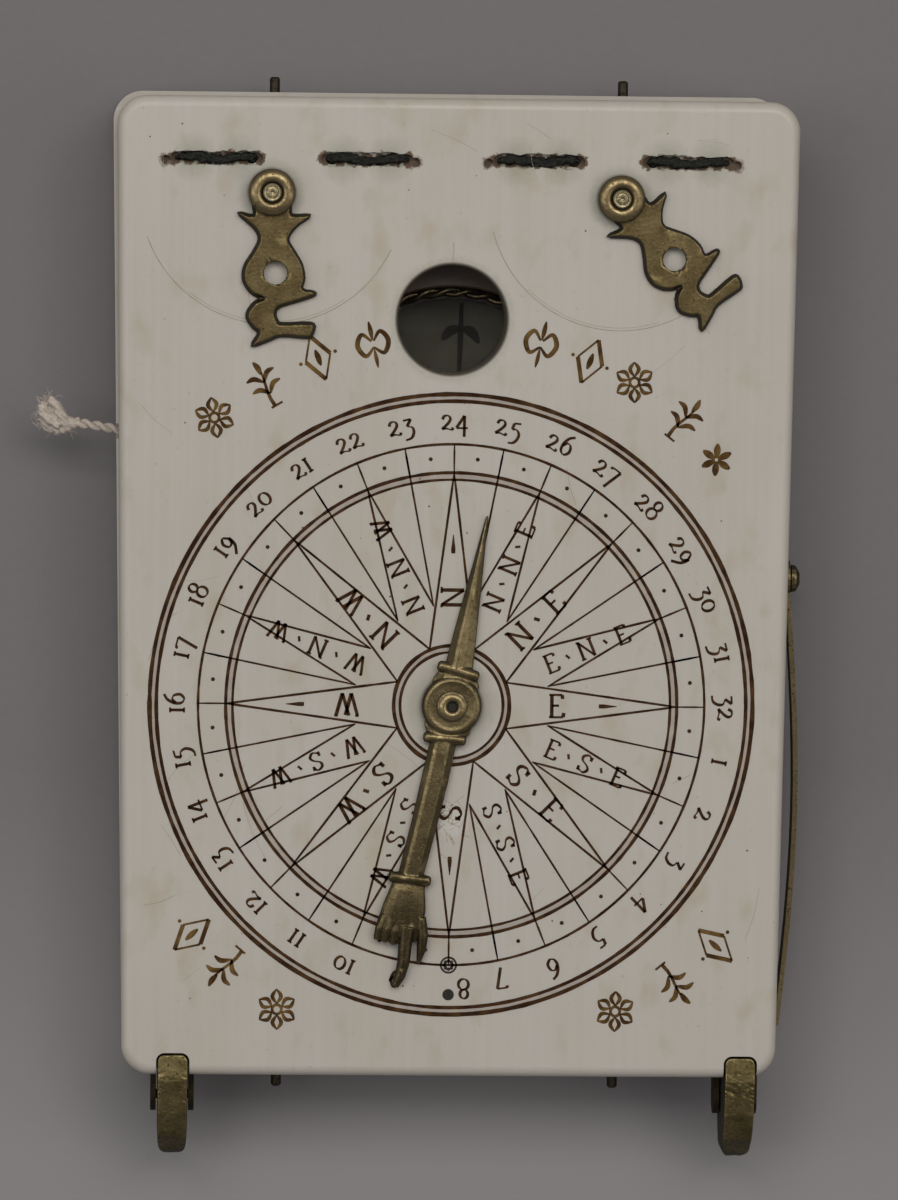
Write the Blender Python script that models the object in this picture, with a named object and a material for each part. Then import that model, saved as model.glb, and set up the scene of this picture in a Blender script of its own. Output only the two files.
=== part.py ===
"""A closed ivory diptych sundial, lying flat.

Frame: metres, +Z up, the origin on the table under the middle of the leaves.
+Y points to the hinge edge, +X to the right when the wind rose is read.
"""

import math

import bmesh
import bpy
from mathutils import Matrix, Vector

MM = 0.001

# Driving dimensions
LENGTH = 105.0 * MM
HINGE_WIDTH = 73.0 * MM
FREE_WIDTH = 70.5 * MM
LOWER_THICK = 8.2 * MM
UPPER_THICK = 5.5 * MM
LEAF_GAP = 0.3 * MM
CORNER = 3.2 * MM
EDGE_ROUND = 1.2 * MM
FIT = 0.1 * MM  # between a small fixed piece and the ivory round it
RUNNING = 0.15 * MM  # between pieces that move past each other

HINGE_Y = LENGTH / 2
FREE_Y = -LENGTH / 2
UPPER_BOTTOM = LOWER_THICK + LEAF_GAP
TOP = UPPER_BOTTOM + UPPER_THICK
PARTING = LOWER_THICK + LEAF_GAP / 2

# Hinges in the back edge
AXIS_INSET = 1.1 * MM
AXIS_Y = HINGE_Y - AXIS_INSET
BEVEL = AXIS_INSET + 0.15 * MM
HINGE_X = (-17.9 * MM, 16.5 * MM)
BARREL_R = 0.95 * MM
STRAP_HALF = 5.6 * MM
STRAP_THICK = 0.6 * MM
STRAP_DEEP = 7.4 * MM
KNUCKLE_HALF = 1.9 * MM
KNUCKLE_GAP = 0.2 * MM
LEG_OFFSET = 4.0 * MM
LEG_R = 0.5 * MM
SLOT_REACH = 12.8 * MM
SLOT_HALF = 0.75 * MM
SLOT_Y = HINGE_Y - 6.6 * MM
SLOT_DEPTH = 0.7 * MM

# Compass in the lower leaf, and the window over it in the upper one
COMPASS = Vector((-0.3 * MM, 17.0 * MM, 0))
WELL_R = 14.0 * MM
WELL_FLOOR = 2.2 * MM
REBATE_R = 15.3 * MM
REBATE_Z = 6.6 * MM
GLASS_THICK = 0.4 * MM
RING_WIRE = 0.48 * MM
NEEDLE_TURN = math.radians(118.0)
WINDOW = Vector((-0.6 * MM, 28.9 * MM, 0))
WINDOW_R = 5.8 * MM

# Pointer and swing levers on the outer face
ROSE = Vector((-0.2 * MM, -12.4 * MM, 0))
POINTER_TURN = math.radians(-10.0)
POINTER_THICK = 1.3 * MM
LEVER_PIVOTS = (Vector((-20.0 * MM, 42.3 * MM, 0)), Vector((17.3 * MM, 42.0 * MM, 0)))
LEVER_TURNS = (0.0, math.radians(39.0))
LEVER_THICK = 0.9 * MM
WASHER_THICK = 0.9 * MM

# Catches on the free edge
CATCH_X = (-29.7 * MM, 31.4 * MM)
CATCH_HALF = 1.6 * MM
CATCH_OUT = 3.0 * MM
CATCH_Z = 6.0 * MM
NOTCH_DEPTH = 2.4 * MM
HEAD_CORNER = 0.7 * MM
CHEEK = 0.6 * MM
CHEEK_R = 1.8 * MM
CATCH_PIN_R = 0.5 * MM

# Pins in the edges, and the bowed arm on the right side
EDGE_PIN_R = 0.55 * MM
EDGE_PIN_Z = 4.2 * MM
EDGE_PIN_IN = 6.0 * MM
HINGE_EDGE_PINS = (-19.6 * MM, 18.0 * MM)
FREE_EDGE_PINS = (-18.4 * MM, 18.2 * MM)
ARM_PIVOT_Y = 1.0 * MM
ARM_Z = 5.0 * MM
ARM_LONG = 48.6 * MM
ARM_HALF = 1.5 * MM
ARM_THICK = 0.5 * MM
ARM_BOW = 1.4 * MM
ARM_EYE_R = 2.0 * MM
ARM_START = 1.5 * MM

# Gnomon string
STRING_R = 0.45 * MM
CHANNEL_HALF = 0.75 * MM
CHANNEL_DEPTH = 1.25 * MM
STRING_Z = LOWER_THICK - CHANNEL_DEPTH + 0.1 * MM + STRING_R
STRING_HOLE = Vector((1.0 * MM, -12.0 * MM, 0))
STRING_ROUTE = (
    (0.2, -11.6), (-3.0, -10.4), (-7.5, -7.8), (-12.5, -4.2), (-17.5, 0.3), (-22.0, 5.2),
    (-26.5, 10.2), (-31.0, 14.2), (-35.6, 16.3), (-38.4, 16.9), (-40.6, 17.2),
)
STRING_DROP = (0.0, 0.0, 0.0, 0.0, 0.0, 0.0, 0.0, 0.0, 0.0, -0.35, -1.0)


# Mesh helpers

def material(name, colour, roughness, metallic=0.0, alpha=1.0):
    made = bpy.data.materials.new(name)
    made.use_nodes = True
    shader = made.node_tree.nodes["Principled BSDF"]
    shader.inputs["Base Color"].default_value = (*colour, 1)
    shader.inputs["Roughness"].default_value = roughness
    shader.inputs["Metallic"].default_value = metallic
    shader.inputs["Alpha"].default_value = alpha
    return made


def finish_mesh(name, bm, mat):
    """Turns a bmesh into an object, its faces pointing out."""
    bmesh.ops.recalc_face_normals(bm, faces=bm.faces)
    mesh = bpy.data.meshes.new(name)
    bm.to_mesh(mesh)
    bm.free()
    mesh.shade_smooth()
    mesh.set_sharp_from_angle(angle=math.radians(35))
    made = bpy.data.objects.new(name, mesh)
    bpy.context.scene.collection.objects.link(made)
    if mat:
        made.data.materials.append(mat)
    return made


def loft_into(bm, rings):
    """Adds the closed solid through rings of points, all with the same count."""
    loops = [[bm.verts.new(p) for p in ring] for ring in rings]
    for low, high in zip(loops, loops[1:]):
        for i in range(len(low)):
            j = (i + 1) % len(low)
            bm.faces.new((low[i], low[j], high[j], high[i]))
    bm.faces.new(list(reversed(loops[0])))
    bm.faces.new(loops[-1])


def placed(outline, height, axis):
    """Outline points at a height along an axis: (x, y) for Z, (y, z) for X, (x, z) for Y."""
    if axis == "X":
        return [(height, u, v) for u, v in outline]
    if axis == "Y":
        return [(u, height, v) for u, v in outline]
    return [(u, v, height) for u, v in outline]


def prism(name, outline, low, high, mat, axis="Z"):
    bm = bmesh.new()
    loft_into(bm, [placed(outline, low, axis), placed(outline, high, axis)])
    return finish_mesh(name, bm, mat)


def prisms(name, parts, mat):
    """Several prisms (outline, low, high, axis) in one object, which may overlap."""
    first = prism(name, *parts[0][:3], mat, parts[0][3])
    for number, part in enumerate(parts[1:]):
        other = prism(f"{name}_cutter_{number}", *part[:3], mat, part[3])
        boolean(first, other, "UNION")
    return first


def circle(centre_u, centre_v, radius, count=24, start=0.0, end=2 * math.pi):
    """Points on a circle, or on an arc with both its ends."""
    whole = abs(end - start) > 2 * math.pi - 1e-6
    steps = count if whole else count - 1
    turns = [start + (end - start) * i / steps for i in range(count)]
    return [(centre_u + radius * math.cos(t), centre_v + radius * math.sin(t)) for t in turns]


def rectangle(u0, v0, u1, v1):
    return [(u0, v0), (u1, v0), (u1, v1), (u0, v1)]


def cylinder(name, centre_u, centre_v, radius, low, high, mat, axis="Z", count=24):
    return prism(name, circle(centre_u, centre_v, radius, count), low, high, mat, axis)


def turned(name, profile, centre, mat, count=28, axis="Z"):
    """A turned solid from (radius, height) points; the first and last may be on the axis."""
    bm = bmesh.new()
    rings = []
    for radius, height in profile:
        outline = circle(centre[0], centre[1], max(radius, 1e-7), count)
        rings.append([bm.verts.new(p) for p in placed(outline, height, axis)])
    for low, high in zip(rings, rings[1:]):
        for i in range(count):
            j = (i + 1) % count
            bm.faces.new((low[i], low[j], high[j], high[i]))
    if profile[0] == profile[-1]:
        bmesh.ops.remove_doubles(bm, verts=bm.verts, dist=1e-8)
    else:
        bm.faces.new(list(reversed(rings[0])))
        bm.faces.new(rings[-1])
    return finish_mesh(name, bm, mat)


def boolean(target, other, operation="DIFFERENCE"):
    other.hide_render = True
    other.display_type = "WIRE"
    modifier = target.modifiers.new(operation.title(), "BOOLEAN")
    modifier.operation = operation
    modifier.object = other


def pivot(made, point, axis="Z"):
    """Moves an object's origin onto its joint's axis, leaving its shape in place."""
    made.data.transform(Matrix.Translation(-Vector(point)))
    made.location = point


def turned_about(outline, centre, angle):
    c, s = math.cos(angle), math.sin(angle)
    return [(centre[0] + u * c - v * s, centre[1] + u * s + v * c) for u, v in outline]


# Ivory leaves

def half_width(y):
    share = (y - FREE_Y) / LENGTH
    return (FREE_WIDTH + (HINGE_WIDTH - FREE_WIDTH) * share) / 2


def leaf_outline(inset):
    """The leaf's outline with round corners, pulled in by inset."""
    points = []
    radius = CORNER - inset
    for sx, sy, start in ((1, 1, 0.0), (-1, 1, 0.5), (-1, -1, 1.0), (1, -1, 1.5)):
        y = sy * LENGTH / 2
        x = sx * half_width(y)
        start *= math.pi
        points += circle(x - sx * CORNER, y - sy * CORNER, radius, 7, start, start + math.pi / 2)
    return points


def leaf_blank(name, flat_z, round_z, mat):
    """A leaf from its parting face at flat_z to its outer face at round_z, whose rim is round."""
    sign = 1 if round_z > flat_z else -1
    rings = [placed(leaf_outline(0), flat_z, "Z")]
    for step in range(5):
        angle = math.pi / 2 * step / 4
        inset = EDGE_ROUND * (1 - math.cos(angle))
        height = round_z - sign * EDGE_ROUND * (1 - math.sin(angle))
        rings.append(placed(leaf_outline(inset), height, "Z"))
    bm = bmesh.new()
    loft_into(bm, rings)
    return finish_mesh(name, bm, mat)


def back_bevel(leaf, parting_z, sign):
    """Bevels the parting edge at the hinges, so that the leaves meet at a right angle when open."""
    over = 1.0 * MM
    wedge = [
        (HINGE_Y - BEVEL - over, parting_z - sign * over),
        (HINGE_Y + over, parting_z + sign * (BEVEL + over)),
        (HINGE_Y + over, parting_z - sign * over),
    ]
    half = HINGE_WIDTH / 2 + over
    boolean(leaf, prism(f"{leaf.name}_bevel_cutter", wedge, -half, half, None, "X"))


def hinge_pockets(leaf, parting_z, outer_z, sign):
    """Sinks the hinge straps into the parting face and lets their legs through to the outer face."""
    over = 1.0 * MM
    for side, x in zip("lr", HINGE_X):
        half = STRAP_HALF + FIT
        pocket = rectangle(x - half, AXIS_Y - STRAP_DEEP - FIT, x + half, HINGE_Y + over)
        depth = sign * (STRAP_THICK + FIT)
        low, high = sorted((parting_z + depth, parting_z - sign * over))
        boolean(leaf, prism(f"{leaf.name}_strap_{side}_cutter", pocket, low, high, None))
        barrel = circle(AXIS_Y, PARTING, BARREL_R + RUNNING, 20)
        boolean(leaf, prism(f"{leaf.name}_barrel_{side}_cutter", barrel, x - half, x + half, None, "X"))
        for out in (-1, 1):
            tag = f"{leaf.name}_{side}{'ab'[out > 0]}"
            leg_x = x + out * LEG_OFFSET
            low, high = sorted((parting_z - sign * over, outer_z + sign * over))
            hole = cylinder(f"{tag}_leg_cutter", leg_x, SLOT_Y, LEG_R + FIT, low, high, None, count=12)
            boolean(leaf, hole)
            ends = sorted((x + out * (LEG_OFFSET - SLOT_HALF), x + out * SLOT_REACH))
            slot = rectangle(ends[0], SLOT_Y - SLOT_HALF, ends[1], SLOT_Y + SLOT_HALF)
            low, high = sorted((outer_z - sign * SLOT_DEPTH, outer_z + sign * over))
            boolean(leaf, prism(f"{tag}_slot_cutter", slot, low, high, None))


def lower_leaf(mat):
    leaf = leaf_blank("lower_leaf", LOWER_THICK, 0.0, mat)
    over = 1.0 * MM
    back_bevel(leaf, LOWER_THICK, -1)
    hinge_pockets(leaf, LOWER_THICK, 0.0, -1)
    well = [
        (1e-7, WELL_FLOOR), (WELL_R, WELL_FLOOR), (WELL_R, REBATE_Z),
        (REBATE_R, REBATE_Z), (REBATE_R, LOWER_THICK + over), (1e-7, LOWER_THICK + over),
    ]
    boolean(leaf, turned("well_cutter", well, COMPASS, None, 40))
    boolean(leaf, string_channel())
    hole = cylinder("string_hole_cutter", STRING_HOLE.x, STRING_HOLE.y, 1.0 * MM,
                    2.0 * MM, LOWER_THICK + over, None, count=12)
    boolean(leaf, hole)
    for side, x in zip("lr", HINGE_EDGE_PINS):
        boolean(leaf, cylinder(f"hinge_pin_{side}_cutter", x, EDGE_PIN_Z, EDGE_PIN_R + FIT,
                               HINGE_Y - EDGE_PIN_IN, HINGE_Y + over, None, "Y", 12))
    for side, x in zip("lr", FREE_EDGE_PINS):
        boolean(leaf, cylinder(f"free_pin_{side}_cutter", x, EDGE_PIN_Z, EDGE_PIN_R + FIT,
                               FREE_Y - over, FREE_Y + EDGE_PIN_IN, None, "Y", 12))
    for side, x in zip("lr", CATCH_X):
        half = CATCH_HALF + RUNNING + CHEEK + FIT
        pocket = rectangle(x - half, CATCH_Z - CHEEK_R - FIT, x + half, CATCH_Z + CHEEK_R + FIT)
        boolean(leaf, prism(f"bracket_{side}_cutter", pocket, FREE_Y - over, FREE_Y + 1.4 * MM, None, "Y"))
    rivet_x = half_width(ARM_PIVOT_Y)
    boolean(leaf, cylinder("arm_rivet_cutter", ARM_PIVOT_Y, ARM_Z, 0.7 * MM + FIT,
                           rivet_x - 5 * MM, rivet_x + over, None, "X", 12))
    return leaf


def upper_leaf(mat):
    leaf = leaf_blank("upper_leaf", UPPER_BOTTOM, TOP, mat)
    over = 1.0 * MM
    back_bevel(leaf, UPPER_BOTTOM, 1)
    hinge_pockets(leaf, UPPER_BOTTOM, TOP, 1)
    boolean(leaf, cylinder("window_cutter", WINDOW.x, WINDOW.y, WINDOW_R,
                           UPPER_BOTTOM - over, TOP + over, None, count=40))
    for side, point in zip("lr", LEVER_PIVOTS):
        boolean(leaf, cylinder(f"lever_{side}_cutter", point.x, point.y, 0.7 * MM + FIT,
                               UPPER_BOTTOM - over, TOP + over, None, count=12))
    boolean(leaf, cylinder("pointer_cutter", ROSE.x, ROSE.y, 0.9 * MM + FIT,
                           UPPER_BOTTOM - over, TOP + over, None, count=12))
    for side, x in zip("lr", CATCH_X):
        notch = catch_plan(x, 0.2 * MM)
        boolean(leaf, prism(f"notch_{side}_cutter", notch, UPPER_BOTTOM - over, TOP + over, None))
    return leaf


# Gnomon string

def smooth_route(points, step):
    """A smooth curve through the points, with a point about every step."""
    padded = [points[0] * 2 - points[1], *points, points[-1] * 2 - points[-2]]
    line = []
    for a, b, c, d in zip(padded, padded[1:], padded[2:], padded[3:]):
        count = max(2, round((c - b).length / step))
        for i in range(count):
            t = i / count
            line.append(0.5 * (2 * b + (c - a) * t + (2 * a - 5 * b + 4 * c - d) * t * t
                               + (3 * b - a - 3 * c + d) * t ** 3))
    return line + [points[-1]]


def string_line():
    points = [Vector((x * MM, y * MM, STRING_Z + drop * MM))
              for (x, y), drop in zip(STRING_ROUTE, STRING_DROP)]
    return smooth_route(points, 2.4 * MM)


def string_channel():
    """The shallow channel in the parting face that the string lies in."""
    line = [Vector((p.x, p.y, 0)) for p in string_line() if p.x > -35.0 * MM]
    line.insert(0, STRING_HOLE)
    line.append(Vector((-38.0 * MM, 17.0 * MM, 0)))
    left, right = [], []
    for i, p in enumerate(line):
        along = (line[min(i + 1, len(line) - 1)] - line[max(i - 1, 0)]).normalized()
        side = Vector((-along.y, along.x, 0)) * CHANNEL_HALF
        left.append((p + side)[:2])
        right.append((p - side)[:2])
    outline = left + right[::-1]
    return prism("channel_cutter", outline, LOWER_THICK - CHANNEL_DEPTH, LOWER_THICK + 1.0 * MM, None)


def gnomon_string(mat):
    """A loose string: pegged in the lower leaf, lying in its channel, its knotted end outside."""
    line = string_line()
    curve = bpy.data.curves.new("gnomon_string", "CURVE")
    curve.dimensions = "3D"
    curve.bevel_depth = STRING_R
    curve.bevel_resolution = 2
    curve.use_fill_caps = True
    spline = curve.splines.new("POLY")
    spline.points.add(len(line) - 1)
    for point, p in zip(spline.points, line):
        point.co = (*p, 1)
    made = bpy.data.objects.new("gnomon_string", curve)
    bpy.context.scene.collection.objects.link(made)
    curve.materials.append(mat)
    return made


def string_knot(mat):
    end = string_line()[-1]
    ahead = Vector((-1, 0.1, -0.35)).normalized()
    centre = end + ahead * 2.35 * MM
    profile = [
        (0.35, -2.15), (0.95, -1.7), (1.25, -0.9), (0.9, -0.1),
        (1.1, 0.7), (1.3, 1.5), (0.9, 2.1), (0.3, 2.3),
    ]
    knot = turned("string_knot", [(r * MM, h * MM) for r, h in profile], (0, 0), mat, 12)
    knot.data.transform(Vector((0, 0, 1)).rotation_difference(ahead).to_matrix().to_4x4())
    knot.location = centre
    return knot


def string_peg(mat):
    outline = circle(STRING_HOLE.x, STRING_HOLE.y, 0.9 * MM, 12)
    return prism("string_peg", outline, 2.1 * MM, LOWER_THICK - CHANNEL_DEPTH - 0.1 * MM, mat)


# Compass

def compass(card_mat, brass, steel, glass):
    x, y = COMPASS.x, COMPASS.y
    card_low = WELL_FLOOR + FIT
    cylinder("compass_card", x, y, WELL_R - 0.2 * MM, card_low, card_low + 0.4 * MM, card_mat, count=40)
    foot = WELL_FLOOR + 0.6 * MM
    post = [(0.9, 0.0), (0.9, 0.4), (0.35, 0.8), (0.25, 1.9), (0.03, 2.6)]
    turned("compass_pivot", [(r * MM, foot + h * MM) for r, h in post], COMPASS, brass, 16)
    low = foot + 1.7 * MM
    cap = [(0.02, 1.0), (0.55, 0.0), (1.5, 0.0), (1.5, 0.35), (1.2, 0.75), (0.7, 1.25), (0.02, 1.4)]
    profile = [(r * MM, low + h * MM) for r, h in cap]
    made = turned("needle_cap", profile, COMPASS, brass, 16)
    pivot(made, (x, y, low))
    made = needle(steel, low)
    pivot(made, (x, y, low))
    glass_low = REBATE_Z + FIT
    cylinder("compass_glass", x, y, REBATE_R - 0.2 * MM, glass_low, glass_low + GLASS_THICK, glass, count=40)
    height = REBATE_Z + 2 * FIT + GLASS_THICK + RING_WIRE
    ring = circle(REBATE_R - 0.15 * MM - RING_WIRE, height, RING_WIRE, 6)
    turned("compass_ring", [*ring, ring[0]], COMPASS, brass, 32)


def needle(mat, low):
    """A flat magnetic needle with a ring at its middle and an arrow at its north end."""
    x, y = COMPASS.x, COMPASS.y
    outline = [
        (0.0, 11.6), (-1.5, 8.2), (-0.5, 8.5), (-0.55, 3.0), (-2.0, 1.6), (-2.3, 0.0), (-2.0, -1.6),
        (-0.55, -3.0), (-0.4, -10.6), (0.0, -11.2), (0.4, -10.6), (0.55, -3.0), (2.0, -1.6), (2.3, 0.0),
        (2.0, 1.6), (0.55, 3.0), (0.5, 8.5), (1.5, 8.2),
    ]
    outline = turned_about([(u * MM, v * MM) for u, v in outline], COMPASS, NEEDLE_TURN)
    made = prism("compass_needle", outline, low + 0.05 * MM, low + 0.3 * MM, mat)
    boolean(made, cylinder("needle_eye_cutter", x, y, 1.6 * MM, low - MM, low + MM, None, count=20))
    return made


# Hinges

def hinge_half(name, x, upper, mat):
    """A strap in the parting face with its barrel round the hinge axis."""
    sign = 1 if upper else -1
    face = UPPER_BOTTOM if upper else LOWER_THICK
    low, high = sorted((face, face + sign * STRAP_THICK))
    clear = AXIS_Y - BARREL_R - RUNNING
    parts = [(rectangle(x - STRAP_HALF, AXIS_Y - STRAP_DEEP, x + STRAP_HALF, clear), low, high, "Z")]
    if upper:
        spans = [(x - KNUCKLE_HALF, x + KNUCKLE_HALF)]
    else:
        inner = KNUCKLE_HALF + KNUCKLE_GAP
        spans = [(x - STRAP_HALF, x - inner), (x + inner, x + STRAP_HALF)]
    for left, right in spans:
        parts.append((rectangle(left, clear - 0.5 * MM, right, AXIS_Y - 0.2 * MM), low, high, "Z"))
        parts.append((circle(AXIS_Y, PARTING, BARREL_R, 20), left, right, "X"))
    made = prisms(name, parts, mat)
    half = STRAP_HALF + MM
    bore = cylinder(f"{name}_bore_cutter", AXIS_Y, PARTING, 0.5 * MM, x - half, x + half, None, "X", 12)
    boolean(made, bore)
    for out in (-1, 1):
        boolean(made, cylinder(f"{name}_leg_{'ab'[out > 0]}_cutter", x + out * LEG_OFFSET, SLOT_Y,
                               LEG_R + FIT, low - MM, high + MM, None, count=12))
    return made


def staple(name, x, out, upper, mat):
    """A wire leg through the leaf, bent flat in its slot on the outer face."""
    sign = 1 if upper else -1
    face = UPPER_BOTTOM if upper else LOWER_THICK
    outer = TOP if upper else 0.0
    bend = outer - sign * (SLOT_DEPTH - FIT)
    top = outer - sign * FIT
    leg = (circle(x + out * LEG_OFFSET, SLOT_Y, LEG_R, 12), *sorted((face, top)), "Z")
    ends = sorted((x + out * LEG_OFFSET, x + out * (SLOT_REACH - 0.3 * MM)))
    strip = (rectangle(ends[0], SLOT_Y - 0.55 * MM, ends[1], SLOT_Y + 0.55 * MM), *sorted((bend, top)), "Z")
    return prisms(name, [strip, leg], mat)


def hinges(brass, dark):
    number = 0
    for side, x in zip(("left", "right"), HINGE_X):
        hinge_half(f"hinge_lower_{side}", x, False, brass)
        hinge_half(f"hinge_upper_{side}", x, True, brass)
        cylinder(f"hinge_pin_{side}", AXIS_Y, PARTING, 0.42 * MM, x - STRAP_HALF, x + STRAP_HALF,
                 brass, "X", 12)
        for out in (-1, 1):
            number += 1
            staple(f"upper_staple_{number}", x, out, True, dark)
            staple(f"lower_staple_{number}", x, out, False, dark)


# Levers and pointer

LEVER_OUTLINE = (
    (-3.6, -2.2), (-1.9, -2.5), (-1.9, -1.2), (0.0, -2.0), (1.9, -1.2), (2.1, -2.4), (4.1, -2.4),
    (3.0, -3.0), (2.1, -3.9), (1.75, -5.0), (2.3, -6.1), (3.2, -7.6), (3.5, -9.1), (3.3, -10.3),
    (4.6, -10.6), (4.5, -11.0), (2.4, -11.7), (0.9, -12.2), (0.45, -12.9), (0.7, -13.7),
    (1.2, -14.0), (4.2, -13.9), (4.65, -14.4), (4.3, -15.3), (3.7, -15.45), (1.1, -15.3),
    (-0.2, -15.8), (-2.0, -16.4), (-1.25, -15.0), (-1.8, -14.5), (-2.5, -13.5), (-2.4, -12.6),
    (-1.6, -11.7), (-0.75, -11.3), (-1.8, -10.9), (-2.6, -10.1), (-3.0, -9.1), (-2.8, -7.8),
    (-2.0, -6.5), (-1.35, -5.2), (-1.45, -4.0), (-2.3, -3.1),
)
LEVER_EYE_R = 2.2
LEVER_RING = (0.45, -8.6, 1.3)


def lever(name, point, turn, mat):
    """A flat hooked lever, turned about its rivet on the outer face."""
    low = TOP + RUNNING
    high = low + LEVER_THICK
    body = [(u * MM, v * MM) for u, v in LEVER_OUTLINE]
    eye = circle(0, 0, LEVER_EYE_R * MM, 24)
    made = prisms(name, [(turned_about(body, point, turn), low, high, "Z"),
                         (turned_about(eye, point, turn), low, high, "Z")], mat)
    ring = turned_about([(LEVER_RING[0] * MM, LEVER_RING[1] * MM)], point, turn)[0]
    span = (low - MM, high + MM)
    boolean(made, cylinder(f"{name}_ring_cutter", *ring, LEVER_RING[2] * MM, *span, None, count=20))
    boolean(made, cylinder(f"{name}_rivet_cutter", point.x, point.y, 0.8 * MM, *span, None, count=16))
    pivot(made, (point.x, point.y, low))
    return made


def levers(brass):
    for side, point, turn in zip(("left", "right"), LEVER_PIVOTS, LEVER_TURNS):
        lever(f"lever_{side}", point, turn, brass)
        low = TOP + 2 * RUNNING + LEVER_THICK
        ring = [
            (0.8, 0.0), (2.4, 0.0), (2.5, 0.3), (2.1, 0.75), (1.6, 0.9), (1.1, 0.7), (0.8, 0.5), (0.8, 0.0),
        ]
        turned(f"lever_washer_{side}", [(r * MM, low + h * MM) for r, h in ring], point, brass, 24)
        head = low + 0.55 * MM
        shaft = [(0.7 * MM, UPPER_BOTTOM), (0.7 * MM, head), (1.0 * MM, head + 0.2 * MM),
                 (1.0 * MM, head + 0.45 * MM), (0.7 * MM, head + 0.6 * MM)]
        turned(f"lever_rivet_{side}", shaft, point, brass, 16)


# (distance from the hub, half width) down one side of the blade, from its tip
POINTER_HALF = ((20.7, 0.15), (5.2, 1.45), (4.35, 1.5), (4.3, 2.3), (3.4, 2.3))
# (distance from the hub, offset across) round the arm and the hand at its end
HAND_OUTLINE = (
    (-3.2, -2.45), (-4.1, -2.6), (-4.2, -1.7), (-18.6, -2.3), (-18.7, -3.2), (-19.5, -3.3), (-19.7, -2.7),
    (-22.4, -3.5), (-25.7, -3.8), (-26.2, -2.9), (-26.2, -1.7), (-25.9, -0.8), (-28.3, -0.3), (-30.8, -0.6),
    (-30.4, 0.3), (-28.2, 0.8), (-25.3, 0.85), (-26.3, 1.35), (-27.3, 2.2), (-25.5, 2.5), (-21.5, 1.6),
    (-19.7, 0.8), (-19.5, 1.3), (-18.6, 1.3), (-18.5, 0.5), (-4.2, 1.4), (-4.1, 2.3), (-3.2, 2.3),
)


def pointer(brass):
    """A hand-ended pointer: along the blade is +, the hand is at -."""
    low = TOP + RUNNING
    high = low + POINTER_THICK
    blade = [(-v * MM, u * MM) for u, v in reversed(POINTER_HALF)]
    blade += [(v * MM, u * MM) for u, v in POINTER_HALF]
    hand = [(v * MM, u * MM) for u, v in HAND_OUTLINE]
    hub = circle(0, 0, 3.2 * MM, 28)
    neck = rectangle(-2.2 * MM, -3.8 * MM, 2.2 * MM, 3.8 * MM)
    turn = POINTER_TURN
    shapes = [turned_about(shape, ROSE, turn) for shape in (hub, blade, hand, neck)]
    made = prisms("pointer", [(shape, low, high, "Z") for shape in shapes], brass)
    boolean(made, cylinder("pointer_eye_cutter", ROSE.x, ROSE.y, 1.0 * MM, low - MM, high + MM,
                           None, count=16))
    pivot(made, (ROSE.x, ROSE.y, low))
    cap = high + RUNNING
    washer = [(1.05, 0.0), (1.6, 0.0), (1.6, 0.25), (1.05, 0.25), (1.05, 0.0)]
    turned("pointer_washer", [(r * MM, cap + h * MM) for r, h in washer], ROSE, brass, 20)
    head = cap + 0.35 * MM
    shaft = [(0.3 * MM, UPPER_BOTTOM + 0.2 * MM), (0.9 * MM, UPPER_BOTTOM + 0.2 * MM), (0.9 * MM, head),
             (1.45 * MM, head), (1.45 * MM, head + 0.3 * MM), (1.1 * MM, head + 0.5 * MM),
             (0.5 * MM, head + 0.45 * MM), (0.45 * MM, head - 0.4 * MM), (0.02 * MM, head - 0.5 * MM)]
    turned("pointer_rivet", shaft, ROSE, brass, 20)


# Catches, edge pins and the bowed arm

CATCH_PROFILE = (
    (5.2, 8.1), (2.6, 8.15), (-1.2, 7.2), (-4.0, 5.3), (-5.8, 2.9), (-6.4, 0.3), (-6.2, -1.2), (-5.4, -2.1),
    (-3.0, -2.4), (0.8, -2.4), (1.9, -1.8), (2.35, -1.0), (2.35, 2.6), (4.6, 3.3), (5.2, 3.8),
)


def catch_plan(x, grow):
    """The catch seen from above, its head's corners round, grown all round by that much."""
    half = CATCH_HALF + grow
    radius = HEAD_CORNER + grow
    head = FREE_Y + NOTCH_DEPTH - 0.2 * MM + grow
    right = circle(x + half - radius, head - radius, radius, 5, 0, math.pi / 2)
    left = circle(x - half + radius, head - radius, radius, 5, math.pi / 2, math.pi)
    return [(x - half, FREE_Y - 12 * MM), (x + half, FREE_Y - 12 * MM), *right, *left]


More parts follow.
